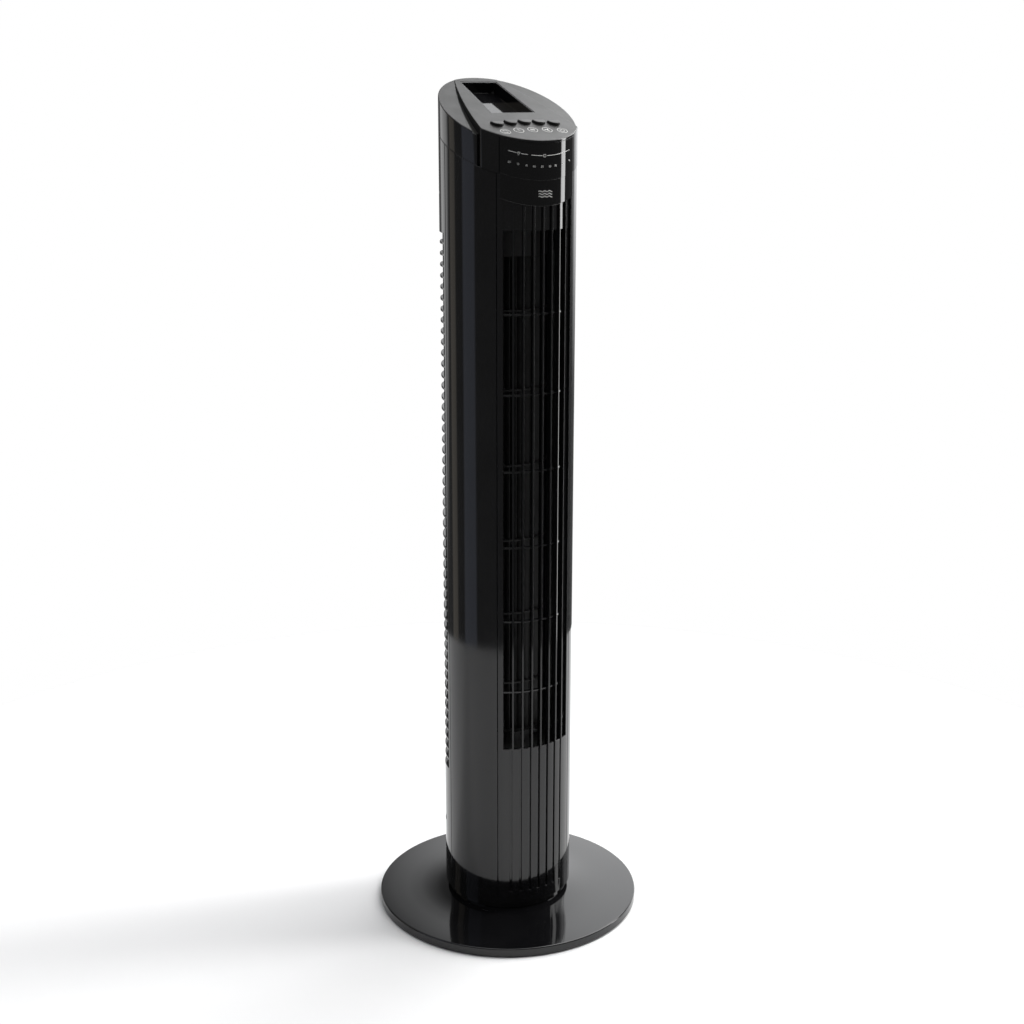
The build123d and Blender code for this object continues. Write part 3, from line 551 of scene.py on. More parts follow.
def crossTube(bm, x, z, inner, outer, near, far):
    # tube along Y round a screw
    ring = [(inner, near), (outer, near), (outer, far), (inner, far)]
    loop = [bm.verts.new((x + r, y, z)) for r, y in ring]
    edges = [bm.edges.new((loop[i - 1], loop[i])) for i in range(len(loop))]
    turnRound(bm, [*loop, *edges], 360, 12, centre=(x, 0, z), axis=(0, 1, 0), whole=True)


def rearShell():
    r, wall = tower["radius"], tower["wall"]
    start, end = tower["sideSeam"] + 0.3, 360 - tower["sideSeam"] - 0.3
    left, right = louvre["window"]
    foot, low, high, top = tower["foot"], louvre["low"], louvre["high"], tower["above"]
    bm = bmesh.new()
    for a, b, count in ((start, left, 3), (left, right, 90), (right, end, 3)):
        step = (b - a) / count
        wallSheet(bm, r, a, b, (foot, low), step)
        wallSheet(bm, r, a, b, (high, top), step)
        if count == 3:
            wallSheet(bm, r, a, b, (low, high), step)
    keepBelow(bm, seamPlane(-0.3), close=False)
    thicken(bm, r, wall)
    roundEdges(bm, shell["rounding"], 3)
    alongY = Matrix.Rotation(math.pi / 2, 4, "X")
    for z in shell["screwHeights"]:
        for side in (-1, 1):
            hole = bmesh.new()
            bmesh.ops.create_cone(
                hole, cap_ends=True, segments=32, radius1=3.4, radius2=3.4, depth=30,
                matrix=Matrix.Translation((side * shell["screwX"], 39, z)) @ alongY,
            )
            bm = combine(bm, hole, "DIFFERENCE")
    for z in shell["screwHeights"]:
        for side in (-1, 1):
            tube = bmesh.new()
            crossTube(tube, side * shell["screwX"], z, 3.4, 4.6, 5.4, 26.0)
            bmesh.ops.recalc_face_normals(tube, faces=tube.faces)
            join(bm, combine(tube, column(r - 0.1, z - 8, z + 8), "INTERSECT"))
    pitch = (high - low + louvre["slat"]) / louvre["rows"]
    slats = bmesh.new()
    for row in range(1, louvre["rows"]):
        z = low + row * pitch - louvre["slat"]
        levels = z, z + louvre["slat"]
        sectorBlock(slats, louvre["inner"], louvre["outer"], *louvre["slatEnds"], *levels, 3.3)
    roundEdges(slats, 0.45, 2)
    join(bm, slats)
    bands = bmesh.new()
    for z in (low - 4, high):
        sectorBlock(bands, louvre["inner"], louvre["outer"] - 2, *louvre["slatEnds"], z, z + 4)
    for bearing in louvre["ribs"]:
        sectorBlock(bands, *louvre["ribRadii"], bearing - 1.3, bearing + 1.3, low - 4, high + 4, 1.3)
    join(bm, bands)
    finished("rear_housing", bm, "tower", [finish["gloss"]], ["rear_shell"])


frontShell()
rearShell()
print("shells drawn")


# front insert: plain foot band, fluted panel, outlet fins and cross ribs
insert = {
    "thickness": 3.4,
    "border": 34.6,
    "bandTop": 38.0,
    "outlet": (209.0, 766.0),
    "fins": 7,
    "finPitch": 8.7,
    "finHalf": 0.8,
    "finInner": 64.8,
    "groove": (-2.7, -0.8),
    "grooveFloor": 68.8,
    "ribs": (274, 354, 436, 518, 599, 682),
    "ribOuter": 68.2,
    "consoleEdge": 37.4,
}
finBearings = [insert["finPitch"] * (k - (insert["fins"] - 1) / 2) for k in range(insert["fins"])]


def frontInsert():
    r = tower["radius"]
    low, high = insert["outlet"]
    band, edge, border = insert["bandTop"], tower["insertEdge"], insert["border"]
    cuts = [-border] + [b + side for b in finBearings for side in insert["groove"]] + [border]
    bm = bmesh.new()
    for start, end in ((-edge, -border), (border, edge)):
        wallSheet(bm, r, start, end, (tower["foot"], band, low, tower["above"]), 1.2)
    for index, (start, end) in enumerate(zip(cuts, cuts[1:])):
        levels = (tower["foot"], band, low) if index % 2 == 0 else (tower["foot"], band)
        wallSheet(bm, r, start, end, levels, 1.0)
    keepBelow(bm, seamPlane(-0.3), close=False)
    thicken(bm, r, insert["thickness"])
    roundEdges(bm, 0.45, 3)
    inner = r - insert["thickness"]
    sectorBlock(bm, inner, insert["grooveFloor"], -border - 0.5, border + 0.5, band - 1, low - 0.4)
    plate = bmesh.new()
    sectorBlock(plate, inner, insert["grooveFloor"], -border - 0.5, border + 0.5, high, tower["above"])
    keepBelow(plate, consolePlane(12))
    join(bm, plate)
    fins = bmesh.new()
    for bearing in finBearings:
        fin = bmesh.new()
        half = insert["finHalf"]
        sides = bearing - half, bearing + half
        sectorBlock(fin, insert["finInner"], r - 0.02, *sides, low - 1.5, tower["above"], 0.8)
        keepBelow(fin, consolePlane(3))
        join(fins, fin)
    roundEdges(fins, 0.35, 3)
    join(bm, fins)
    ribs = bmesh.new()
    for z in insert["ribs"]:
        sectorBlock(ribs, insert["finInner"], insert["ribOuter"], -border - 0.5, border + 0.5, z - 1, z + 1)
    roundEdges(ribs, 0.3, 2)
    join(bm, ribs)
    finished("front_insert", bm, "tower", [finish["gloss"]], ["front_grille"])


# painted shade: sizes of the dark sheet that fills the gap beside the outlet
shadeWall = {"inner": 45.4, "outer": 60.6, "front": 17.0, "rear": 18.8, "low": 200.2, "high": 764}


def outletShadeSheet():
    # painted shade: a dark sheet with no CAD part behind it, standing in the gap between the back end of
    # the air guide and the wheel, where only shade lies
    inner, outer, front, rear = shadeWall["inner"], shadeWall["outer"], shadeWall["front"], shadeWall["rear"]
    bm = outline([(inner, front), (outer, front), (outer, rear), (inner, rear)], shadeWall["low"], shadeWall["high"])
    finished("outlet_painted_shade", bm, "tower", [finish["inner"]])


frontInsert()
outletShadeSheet()
print("front insert drawn")


# top cap
cap = {
    "wedgeHalf": 31.0,
    "wedgeFlare": 0.265,
    "wedgeEnd": 54.0,
    "wedgeBulge": 3.0,
    "wedgeReach": 75.0,
    "grooveDepth": 1.6,
    "grooveEnd": 52.0,
    "grooveStart": 56.0,
    "grooveWidth": 4.2,
    "grooveFlare": 7.0,
    "slitStart": -38.0,
    "sideGroove": 2.4,
    "plate": 2.6,
    "rimRounding": 1.1,
    "deckRounding": 1.5,
    "voidRadius": 66.2,
    "trayFront": -12.5,
    "trayRear": 66.0,
    "trayHalfFront": 26.0,
    "trayHalfRear": 22.0,
    "trayDepth": 12.0,
    "trayWall": 1.45,
}
keys = {
    "pitch": 16.6,
    "row": -35.0,
    "arc": 3.0,
    "radius": 6.5,
    "back": 2.5,
    "low": 2.1,
    "high": 3.0,
    "clearance": 0.35,
}
keyPlaces = [
    (x, keys["row"] - keys["arc"] * (x / (2 * keys["pitch"])) ** 2)
    for x in [keys["pitch"] * k for k in range(-2, 3)]
]


def wedgeSide(y):
    bow = cap["wedgeBulge"] * (1 - ((y - 4) / 50) ** 2)
    return cap["wedgeHalf"] + cap["wedgeFlare"] * (cap["wedgeEnd"] - y) + bow


def arcAt(points, y):
    # half width at y on the arc through three (half width, y) points
    (ax, ay), (bx, by), (cx, cy) = points
    d = 2 * (ax * (by - cy) + bx * (cy - ay) + cx * (ay - by))
    a, b, c = ax * ax + ay * ay, bx * bx + by * by, cx * cx + cy * cy
    middleX = (a * (by - cy) + b * (cy - ay) + c * (ay - by)) / d
    middleY = (a * (cx - bx) + b * (ax - cx) + c * (bx - ax)) / d
    radius = math.hypot(ax - middleX, ay - middleY)
    return middleX + math.sqrt(radius ** 2 - (y - middleY) ** 2)


def wedgeArc(grow=0.0):
    return [(wedgeSide(y) + grow, y) for y in (cap["wedgeReach"], 0.0, -cap["wedgeReach"])]


def wedgeOutline(grow=0.0):
    # plan outline of the raised deck, whose sides bow outwards
    reach, arc = cap["wedgeReach"], wedgeArc(grow)
    rows = [reach - step * reach / 12 for step in range(25)]
    right = [(arcAt(arc, y), y) for y in rows]
    return right + [(-x, y) for x, y in reversed(right)]


def grooveOutline(side, arc, rear, front):
    # strip beside the raised deck, reaching a little under it
    rows = [rear + step * (front - rear) / 16 for step in range(17)]
    outer = [(side * arcAt(arc, y), y) for y in rows]
    inner = [(side * (arcAt(wedgeArc(), y) - 1.0), y) for y in reversed(rows)]
    return outer + inner


def trayOutline(grow=0.0):
    front, rear = cap["trayFront"] - grow, cap["trayRear"] + grow
    wide, narrow = cap["trayHalfFront"] + grow, cap["trayHalfRear"] + grow
    return [(-wide, front), (wide, front), (narrow, rear), (-narrow, rear)]


def onDeck(bm, x=0.0, along=0.0, lift=0.0):
    bmesh.ops.transform(bm, matrix=deckMatrix(x, along, lift), verts=bm.verts)
    return bm


def keySolid(grow, low, high):
    # round towards the front, straight at the back
    r = keys["radius"] + grow
    bm = bmesh.new()
    foot = Matrix.Translation((0, 0, low))
    bmesh.ops.create_circle(bm, cap_ends=True, radius=r, segments=48, matrix=foot)
    keepBelow(bm, (Vector((0, 0, 0)), Vector((0, 1, 0))), close=False)
    straight = [e for e in bm.edges if all(abs(v.co.y) < 0.001 for v in e.verts)]
    grown = bmesh.ops.extrude_edge_only(bm, edges=straight)
    moved = [v for v in grown["geom"] if isinstance(v, bmesh.types.BMVert)]
    bmesh.ops.translate(bm, vec=(0, keys["back"] + grow, 0), verts=moved)
    bmesh.ops.remove_doubles(bm, verts=bm.verts, dist=0.001)
    bmesh.ops.dissolve_limit(
        bm, angle_limit=0.001, use_dissolve_boundaries=False, verts=bm.verts, edges=bm.edges,
        delimit={"NORMAL"},
    )
    raised(bm, list(bm.faces), high - low)
    return bm


def capCutters():
    # everything that is taken out of the cap
    tools = []
    inside = column(cap["voidRadius"], 790, 935, 120)
    keepBelow(inside, cheekPlane(-cap["plate"]))
    tools.append(inside)
    core = column(cap["voidRadius"] - 0.01, 790, 935, 120)
    hollow = combine(core, outline(wedgeOutline(-2.4), 780, 940), "INTERSECT")
    keepBelow(hollow, deckPlane(-cap["plate"]))
    tools.append(hollow)
    recess = bmesh.new()
    edge = insert["consoleEdge"] + 0.3
    sectorBlock(recess, 68.6, 80, -edge, edge, 780, 935, 1.7)
    keepBelow(recess, deckPlane(-2.2))
    tools.append(recess)
    mouth = outline(trayOutline(), -14, 0.0)
    uprights = [e for e in mouth.edges if abs(e.verts[0].co.z - e.verts[1].co.z) > 1]
    bmesh.ops.bevel(
        mouth, geom=uprights, offset=1.2, offset_type="OFFSET", segments=3, profile=0.5, affect="EDGES",
        clamp_overlap=True, material=-1,
    )
    tools.append(onDeck(mouth, lift=4.0))
    for place in keyPlaces:
        hole = keySolid(keys["clearance"], -6.0, 4.0)
        tools.append(onDeck(hole, *place))
    return tools


def aboveSeam(p, lift):
    return p.z > tower["seamHeight"] + p.y * tower["seamSlope"] + lift


def topCap():
    top = tower["above"]
    cheek = column(tower["radius"], 800, top)
    keepAbove(cheek, seamPlane())
    keepBelow(cheek, cheekPlane())
    roundEdges(cheek, cap["rimRounding"], 3, wanted=lambda p: aboveSeam(p, 5))
    roundEdges(cheek, 0.4, 2, wanted=lambda p: p.z < tower["seamHeight"] + p.y * tower["seamSlope"] + 1)
    rear, reach = cap["grooveStart"], cap["wedgeReach"]
    grooveArc = [
        (wedgeSide(rear), rear),
        (wedgeSide(0) + cap["grooveWidth"], 0.0),
        (wedgeSide(-reach) + cap["grooveFlare"], -reach),
    ]
    for side in (-1, 1):
        slot = outline(grooveOutline(side, grooveArc, cap["grooveEnd"], -reach), 800, 940)
        keepAbove(slot, cheekPlane(-cap["grooveDepth"]))
        cheek = combine(cheek, slot, "DIFFERENCE")
        slit = outline(grooveOutline(side, wedgeArc(cap["sideGroove"]), cap["slitStart"], -reach), 799, 941)
        cheek = combine(cheek, slit, "DIFFERENCE")
    shift = (tower["deckRadius"] - tower["radius"]) / 2
    deck = column(tower["radius"] + shift, 800, top, centre=(0, -shift))
    deck = combine(deck, outline(wedgeOutline(), 790, 940), "INTERSECT")
    keepAbove(deck, seamPlane())
    keepBelow(deck, deckPlane())
    roundEdges(deck, cap["deckRounding"], 4, wanted=lambda p: aboveSeam(p, 8))
    bm = combine(cheek, deck, "UNION")
    for tool in capCutters():
        bm = combine(bm, tool, "DIFFERENCE")
    bmesh.ops.recalc_face_normals(bm, faces=bm.faces)
    finished(
        "control_cap", bm, "tower", [finish["gloss"], finish["satin"]], ["top_cap"], 30,
        pick=lambda face: 1 if face.normal.z > 0.55 else 0,
    )


def remoteTray():
    wall, depth = cap["trayWall"], cap["trayDepth"]
    bm = outline(trayOutline(-0.15), -depth - 1.5, -0.3)
    top = [f for f in bm.faces if f.normal.z > 0.9]
    bmesh.ops.inset_region(bm, faces=top, thickness=wall, use_even_offset=True)
    grown = bmesh.ops.extrude_face_region(bm, geom=top)
    sunk = [v for v in grown["geom"] if isinstance(v, bmesh.types.BMVert)]
    bmesh.ops.translate(bm, vec=(0, 0, 0.3 - depth), verts=sunk)
    bmesh.ops.delete(bm, geom=[f for f in top if f.is_valid], context="FACES_ONLY")
    bmesh.ops.recalc_face_normals(bm, faces=bm.faces)
    roundEdges(bm, 0.5, 3)
    onDeck(bm)
    finished("remote_rest", bm, "tower", [finish["gloss"]], ["remote_tray"])


def pushKeys():
    rise = (keys["high"] - keys["low"]) / (keys["back"] + keys["radius"])
    for number, place in enumerate(keyPlaces, start=1):
        bm = keySolid(0, -4.0, 8.0)
        keepBelow(bm, (Vector((0, keys["back"], keys["low"])), Vector((0, rise, 1)).normalized()))
        roundEdges(bm, 0.9, 4, wanted=lambda p: p.z > 0)
        flange = keySolid(1.4, -4.1, -2.9)
        join(bm, flange)
        stem = column(2.0, -6.4, -4.0, 32)
        join(bm, stem)
        onDeck(bm, *place)
        body = f"button_{number}"
        finished(f"key_{number}", bm, body, [finish["satin"]], [body])


topCap()
remoteTray()
pushKeys()
print("cap, tray and keys drawn")


# console
console = {
    "radius": 71.8,
    "inner": 68.8,
    "lensFoot": 815.0,
    "lensSlope": 0.55,
    "step": 0.25,
    "rounding": 0.6,
}


def consolePanel():
    edge, r = insert["consoleEdge"], console["radius"]
    bm = bmesh.new()
    sectorBlock(bm, console["inner"], r - console["step"], -edge, edge, 780, tower["above"], 1.7)
    keepBelow(bm, deckPlane(-2.4))
    keepAbove(bm, consolePlane())
    roundEdges(bm, console["rounding"], 3)
    lens = bmesh.new()
    sectorBlock(lens, r - 1.2, r, -edge + 0.3, edge - 0.3, 780, tower["above"], 1.7)
    keepBelow(lens, deckPlane(-2.6))
    keepAbove(lens, slope(console["lensFoot"] + console["lensSlope"] * r, console["lensSlope"]))
    roundEdges(lens, 0.24, 3)
    join(bm, lens)
    finished("console_window", bm, "tower", [finish["console"]], ["console_panel"])


consolePanel()
print("console drawn")


# printed marks
marks = {
    "thick": 0.06,
    "line": 0.55,
    "upperHeight": 839.0,
    "lowerHeight": 828.6,
    "slope": 0.55,
    "strokes": ((-30.5, -24.0), (-20.4, -14.6), (-11.9, -2.2), (2.2, 28.7)),
    "triangle": -22.2,
    "square": 0.0,
    "scale": (-29.5, -22.9, -16.1, -9.4, -2.3, 5.0, 10.8, 18.6, 28.8),
    "digitHigh": 1.6,
    "digitWide": 0.9,
    "badge": (1.0, 802.0),
    "waveRows": (-2.6, 0.0, 2.6),
    "waveStart": -8.0,
    "waveStep": 0.8,
    "waveHeight": 0.7,
    "waveTurn": 0.9,
    "waveLine": 0.6,
    "waveHug": 0.92,
    "iconRow": -53.0,
    "iconPitch": 16.6,
    "iconRadius": 5.2,
    "iconLine": 0.5,
}
segmentsOf = {
    0: "abcdef", 1: "bc", 2: "abged", 3: "abgcd", 4: "fgbc",
    5: "afgcd", 6: "afgedc", 7: "abc", 8: "abcdefg", 9: "abcdfg",
}


def bar(bm, x0, y0, x1, y1, width):
    # flat bar between two points, standing a little proud of its surface
    start, end = Vector((x0, y0, 0)), Vector((x1, y1, 0))
    run = end - start
    place = Matrix.Translation((start + end) / 2) @ Matrix.Rotation(math.atan2(run.y, run.x), 4, "Z")
    size = Matrix.Diagonal((run.length + width * 0.5, width, marks["thick"], 1))
    bmesh.ops.create_cube(bm, size=1.0, matrix=place @ size)


def ring(bm, radius, width, start=0.0, sweep=360.0):
    # flat ring or arc, by angle from local X
    half, thick = width / 2, marks["thick"] / 2
    a = math.radians(start)
    near, far = radius - half, radius + half
    corners = [(near, -thick), (far, -thick), (far, thick), (near, thick)]
    loop = [bm.verts.new((r * math.cos(a), r * math.sin(a), z)) for r, z in corners]
    edges = [bm.edges.new((loop[i - 1], loop[i])) for i in range(4)]
    if sweep == 360:
        turnRound(bm, [*loop, *edges], sweep, 10, whole=True)
    else:
        face = bm.faces.new(loop)
        turnRound(bm, [face, *edges, *loop], sweep, 10)


def rowHeight(bearing, height):
    return height + marks["slope"] * (bearingPoint(console["radius"], bearing).y + console["radius"])


def digit(bm, value, x, width=0.25):
    w, h = marks["digitWide"], marks["digitHigh"]
    ends = {
        "a": (0, h, w, h), "b": (w, h / 2, w, h), "c": (w, 0, w, h / 2), "d": (0, 0, w, 0),
        "e": (0, 0, 0, h / 2), "f": (0, h / 2, 0, h), "g": (0, h / 2, w, h / 2),
    }
    for name in segmentsOf[value]:
        x0, y0, x1, y1 = ends[name]
        bar(bm, x + x0, y0, x + x1, y1, width)


def consoleMarks():
    r = console["radius"]
    bm = bmesh.new()
    for start, end in marks["strokes"]:
        stroke = bmesh.new()
        low = marks["upperHeight"] + marks["slope"] * r
        sectorBlock(stroke, r - 0.1, r + marks["thick"], start, end, low, low + marks["line"], 1.0)
        shear = Matrix.Identity(4)
        shear[2][1] = marks["slope"]
        bmesh.ops.transform(stroke, matrix=shear, verts=stroke.verts)
        join(bm, stroke)
    for bearing, corners in ((marks["triangle"], 3), (marks["square"], 4)):
        sign = bmesh.new()
        turn = math.pi / 4 if corners == 4 else -math.pi / 2
        angles = [turn + math.tau * k / corners for k in range(corners)]
        points = [(1.9 * math.cos(a), 1.7 * math.sin(a)) for a in angles]
        for k in range(corners):
            bar(sign, *points[k - 1], *points[k], 0.5)
        z = rowHeight(bearing, marks["upperHeight"]) + 0.2
        bmesh.ops.transform(sign, matrix=wallMatrix(r + 0.02, bearing, z), verts=sign.verts)
        join(bm, sign)
    for number, bearing in enumerate(marks["scale"], start=1):
        label = bmesh.new()
        for place, value in enumerate(divmod(number * 5, 10)):
            digit(label, value, (place - 1) * (marks["digitWide"] + 0.7) + 0.35)
        z = rowHeight(bearing, marks["lowerHeight"]) - marks["digitHigh"] / 2
        bmesh.ops.transform(label, matrix=wallMatrix(r + 0.02, bearing, z), verts=label.verts)
        join(bm, label)
    finished("console_print", bm, "tower", [finish["ink"]])


def airflowMark():
    # three plain wavy lines
    bm = bmesh.new()
    for row in marks["waveRows"]:
        steps = []
        for k in range(21):
            height = row + marks["waveHeight"] * math.sin(k * marks["waveTurn"])
            steps.append((marks["waveStart"] + marks["waveStep"] * k, height))
        for start, end in zip(steps, steps[1:]):
            bar(bm, *start, *end, marks["waveLine"])
    bearing, z = marks["badge"]
    r = console["radius"] - console["step"]
    bmesh.ops.transform(bm, matrix=wallMatrix(r + 0.02, bearing, z), verts=bm.verts)
    for v in bm.verts:
        inward = r + 0.03 - v.co.xy.length
        v.co.xy += v.co.xy.normalized() * inward * marks["waveHug"]
    finished("airflow_mark", bm, "tower", [finish["ink"]])


def swingIcon(bm):
    for start in (20, 200):
        ring(bm, 2.6, 0.5, start, 120)
        a = math.radians(start + 122)
        x, y = 2.6 * math.cos(a), 2.6 * math.sin(a)
        bar(bm, x, y, x * 1.4, y * 1.25, 0.5)
        bar(bm, x, y, x * 0.65, y * 0.8, 0.5)


def timerIcon(bm):
    bar(bm, 0, 0, 0, 2.7, 0.5)
    bar(bm, 0, 0, 1.9, 0.6, 0.5)


def breezeIcon(bm):
    for row in (-1.5, 0, 1.5):
        ring_x = 2.6 - abs(row) * 0.3
        bar(bm, -ring_x, row - 0.25, -ring_x / 3, row + 0.35, 0.5)
        bar(bm, -ring_x / 3, row + 0.35, ring_x / 3, row - 0.25, 0.5)
        bar(bm, ring_x / 3, row - 0.25, ring_x, row + 0.35, 0.5)


def speedIcon(bm):
    ring(bm, 0.5, 0.6)
    for k in range(3):
        a = math.tau * k / 3 + 0.5
        bar(bm, 1.1 * math.cos(a), 1.1 * math.sin(a), 2.9 * math.cos(a + 0.5), 2.9 * math.sin(a + 0.5), 1.0)


def powerIcon(bm):
    ring(bm, 2.4, 0.55, 125, 290)
    bar(bm, 0, 0.9, 0, 3.0, 0.55)


def keyIcons():
    bm = bmesh.new()
    for number, draw in enumerate((swingIcon, timerIcon, breezeIcon, speedIcon, powerIcon)):
        x = marks["iconPitch"] * (number - 2)
        along = marks["iconRow"] - keys["arc"] * (x / (2 * keys["pitch"])) ** 2
        icon = bmesh.new()
        ring(icon, marks["iconRadius"], marks["iconLine"])
        draw(icon)
        onDeck(icon, x, along, 0.02)
        join(bm, icon)
    bmesh.ops.recalc_face_normals(bm, faces=bm.faces)
    finished("key_icons", bm, "tower", [finish["greyInk"]])


consoleMarks()
airflowMark()
keyIcons()
print("marks printed")


# back details
gland = {"height": 58.0, "bore": 3.3, "lip": 5.6, "flange": 7.8}


def cordGland():
    r = tower["radius"]
    outlineOf = [
        (gland["bore"], r + 5), (gland["lip"], r + 5),
        (gland["flange"], r + 0.6), (gland["flange"], r + 0.02),
        (5.0, r + 0.02), (5.0, 68.0), (6.6, 68.0), (6.6, 66.2), (gland["bore"], 66.2),
    ]
    bm = bmesh.new()
    loop = [bm.verts.new((across, y, gland["height"])) for across, y in outlineOf]
    edges = [bm.edges.new((loop[i - 1], loop[i])) for i in range(len(loop))]
    turnRound(bm, [*loop, *edges], 360, 8, centre=(0, 0, gland["height"]), axis=(0, 1, 0), whole=True)
    bmesh.ops.recalc_face_normals(bm, faces=bm.faces)
    roundEdges(bm, 0.5, 3)
    finished("inlet_gland", bm, "tower", [finish["rubber"]], ["cord_gland"])


def housingScrews():
    bm = bmesh.new()
    for z in shell["screwHeights"]:
        for side in (-1, 1):
            x = side * shell["screwX"]
            screw = bmesh.new()
            profile = [(0, -4), (1.3, -4), (1.3, 22.0), (2.9, 22.0), (2.9, 23.2), (2.2, 23.9), (0, 24.1)]
            loop = [screw.verts.new((x + r, y, z)) for r, y in profile]
            edges = [screw.edges.new(pair) for pair in zip(loop, loop[1:])]
            turnRound(screw, [*loop, *edges], 360, 15, centre=(x, 0, z), axis=(0, 1, 0), whole=True)
            bmesh.ops.remove_doubles(screw, verts=screw.verts, dist=0.001)
            bmesh.ops.recalc_face_normals(screw, faces=screw.faces)
            for size in ((0.8, 1.6, 3.4), (3.4, 1.6, 0.8)):
                cross = bmesh.new()
                place = Matrix.Translation((x, 24.1, z)) @ Matrix.Diagonal((*size, 1))
                bmesh.ops.create_cube(cross, size=1.0, matrix=place)
                screw = combine(screw, cross, "DIFFERENCE")
            join(bm, screw)
    finished("housing_screw_set", bm, "tower", [finish["steel"]], ["housing_screws"])


cordGland()
housingScrews()
print("gland and screws drawn")


# studio: floor, surroundings, lights and camera
studio = {
    "floorRadius": 0.95,
    "ambient": 0.145,
    "keyPower": 38.0,
    "keySize": 1.6,
    "topPower": 24.0,
}


def floorDisc():
    bm = bmesh.new()
    bmesh.ops.create_circle(bm, cap_ends=True, radius=studio["floorRadius"], segments=128)
    mesh = bpy.data.meshes.new("studio_floor")
    bm.to_mesh(mesh)
    bm.free()
    piece = bpy.data.objects.new("studio_floor", mesh)
    bpy.context.scene.collection.objects.link(piece)
    material, tree, shader, place = startMaterial("studio_paper")
    pale, paler = (0.9, 0.9, 0.9), (0.92, 0.92, 0.92)
    blendColours(tree, addNoise(tree, place, 3.0), pale, paler, shader.inputs["Base Color"])
    shader.inputs["Roughness"].default_value = 0.9
    shader.inputs["Specular IOR Level"].default_value = 0.1
    mesh.materials.append(material)


def areaLight(name, bearing, distance, height, size, power, target):
    lamp = bpy.data.lights.new(name, "AREA")
    lamp.shape = "SQUARE"
    lamp.size = size
    lamp.energy = power
    holder = bpy.data.objects.new(name, lamp)
    holder.location = (*bearingPoint(distance, bearing).xy, height)
    holder.rotation_euler = (Vector(target) - holder.location).to_track_quat("-Z", "Y").to_euler()
    holder.visible_camera = False
    bpy.context.scene.collection.objects.link(holder)
    return holder


def facing(bearing, elevation):
    # unit vector from the object towards a bearing and an elevation
    flat = bearingPoint(math.cos(math.radians(elevation)), bearing)
    return Vector((flat.x, flat.y, math.sin(math.radians(elevation))))


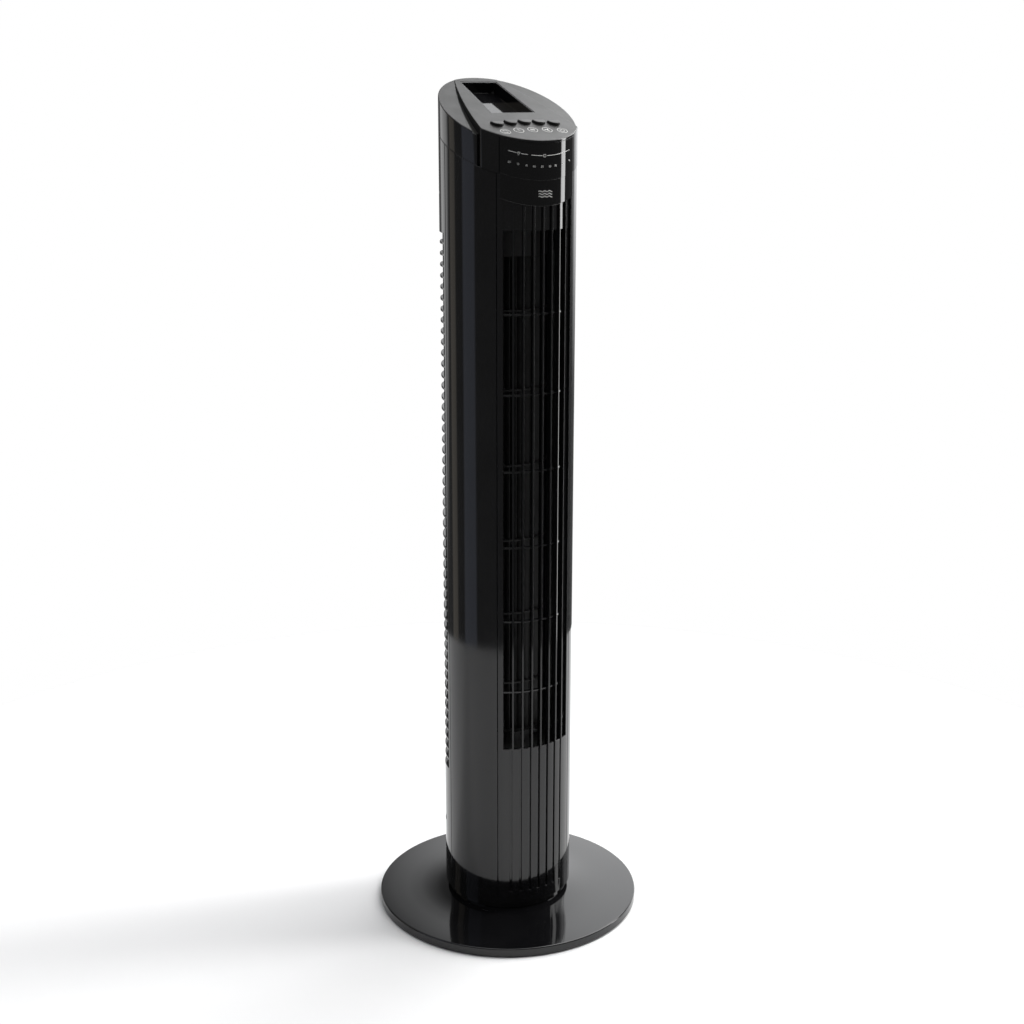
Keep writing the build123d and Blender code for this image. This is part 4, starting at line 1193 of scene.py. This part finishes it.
def surroundings():
    world = bpy.data.worlds.new("studio")
    bpy.context.scene.world = world
    world.use_nodes = True
    tree = world.node_tree
    tree.nodes.clear()
    output = tree.nodes.new("ShaderNodeOutputWorld")
    place = tree.nodes.new("ShaderNodeTexCoord")

    def along(direction):
        dot = tree.nodes.new("ShaderNodeVectorMath")
        dot.operation = "DOT_PRODUCT"
        dot.inputs[1].default_value = direction
        tree.links.new(place.outputs["Generated"], dot.inputs[0])
        return dot.outputs["Value"]

    def reach(source, low, high, start=0.0, end=1.0):
        step = tree.nodes.new("ShaderNodeMapRange")
        step.interpolation_type = "SMOOTHSTEP"
        for socket, value in (("From Min", low), ("From Max", high), ("To Min", start), ("To Max", end)):
            step.inputs[socket].default_value = value
        tree.links.new(source, step.inputs["Value"])
        return step.outputs["Result"]

    def maths(kind, a, b):
        node = tree.nodes.new("ShaderNodeMath")
        node.operation = kind
        for socket, value in zip(node.inputs, (a, b)):
            if isinstance(value, float):
                socket.default_value = value
            else:
                tree.links.new(value, socket)
        return node.outputs["Value"]

    def roundBox(bearing, elevation, radius, blur):
        edge = [math.cos(math.radians(radius + side * blur)) for side in (1, -1)]
        return reach(along(facing(bearing, elevation)), *edge)

    def tallStrip(bearing, half, blur):
        across = maths("ABSOLUTE", along(facing(bearing + 90, 0)), 0.0)
        edge = [math.sin(math.radians(half + side * blur)) for side in (-1, 1)]
        band = reach(across, *edge, 1.0, 0.0)
        return maths("MULTIPLY", band, reach(along(facing(bearing, 0)), 0.1, 0.4))

    lights = [
        (roundBox(124, 22, 26, 8), (2.15, 2.17, 2.2)),
        (tallStrip(-100, 12, 2.0), (0.3, 0.33, 0.42)),
        (tallStrip(-137, 7, 2.0), (0.42, 0.38, 0.32)),
        (tallStrip(73, 5.0, 1.0), (8.0, 8.0, 8.0)),
        (roundBox(-165, 0, 14, 5), (1.2, 1.2, 1.2)),
    ]
    total = None
    for mask, colour in lights:
        tint = tree.nodes.new("ShaderNodeVectorMath")
        tint.operation = "SCALE"
        tint.inputs[0].default_value = colour
        tree.links.new(mask, tint.inputs["Scale"])
        if total is None:
            total = tint.outputs["Vector"]
            continue
        plus = tree.nodes.new("ShaderNodeVectorMath")
        tree.links.new(total, plus.inputs[0])
        tree.links.new(tint.outputs["Vector"], plus.inputs[1])
        total = plus.outputs["Vector"]
    lit = tree.nodes.new("ShaderNodeVectorMath")
    lit.inputs[1].default_value = (studio["ambient"],) * 3
    tree.links.new(total, lit.inputs[0])
    around = tree.nodes.new("ShaderNodeBackground")
    tree.links.new(lit.outputs["Vector"], around.inputs["Color"])
    backdrop = tree.nodes.new("ShaderNodeBackground")
    backdrop.inputs["Color"].default_value = (1, 1, 1, 1)
    path = tree.nodes.new("ShaderNodeLightPath")
    mix = tree.nodes.new("ShaderNodeMixShader")
    tree.links.new(path.outputs["Is Camera Ray"], mix.inputs["Fac"])
    tree.links.new(around.outputs["Background"], mix.inputs[1])
    tree.links.new(backdrop.outputs["Background"], mix.inputs[2])
    tree.links.new(mix.outputs["Shader"], output.inputs["Surface"])


camera = {
    "place": (-0.85575, -1.43839, 0.91140),
    "tilt": 74.82,
    "turn": -30.75,
    "lens": 55.97,
    "shift": 0.0042,
}


def studioCamera():
    data = bpy.data.cameras.new("studio_camera")
    data.lens = camera["lens"]
    data.sensor_width = 36.0
    data.shift_x = camera["shift"]
    holder = bpy.data.objects.new("studio_camera", data)
    holder.location = camera["place"]
    holder.rotation_euler = (math.radians(camera["tilt"]), 0, math.radians(camera["turn"]))
    bpy.context.scene.collection.objects.link(holder)
    bpy.context.scene.camera = holder


floorDisc()
surroundings()
areaLight("key", 100, 1.6, 2.2, studio["keySize"], studio["keyPower"], (0, 0, 0.2))
areaLight("overhead", 10, 0.3, 2.6, 2.0, studio["topPower"], (0, 0, 0))
studioCamera()
bpy.context.scene.view_settings.view_transform = "Standard"
print("studio ready")
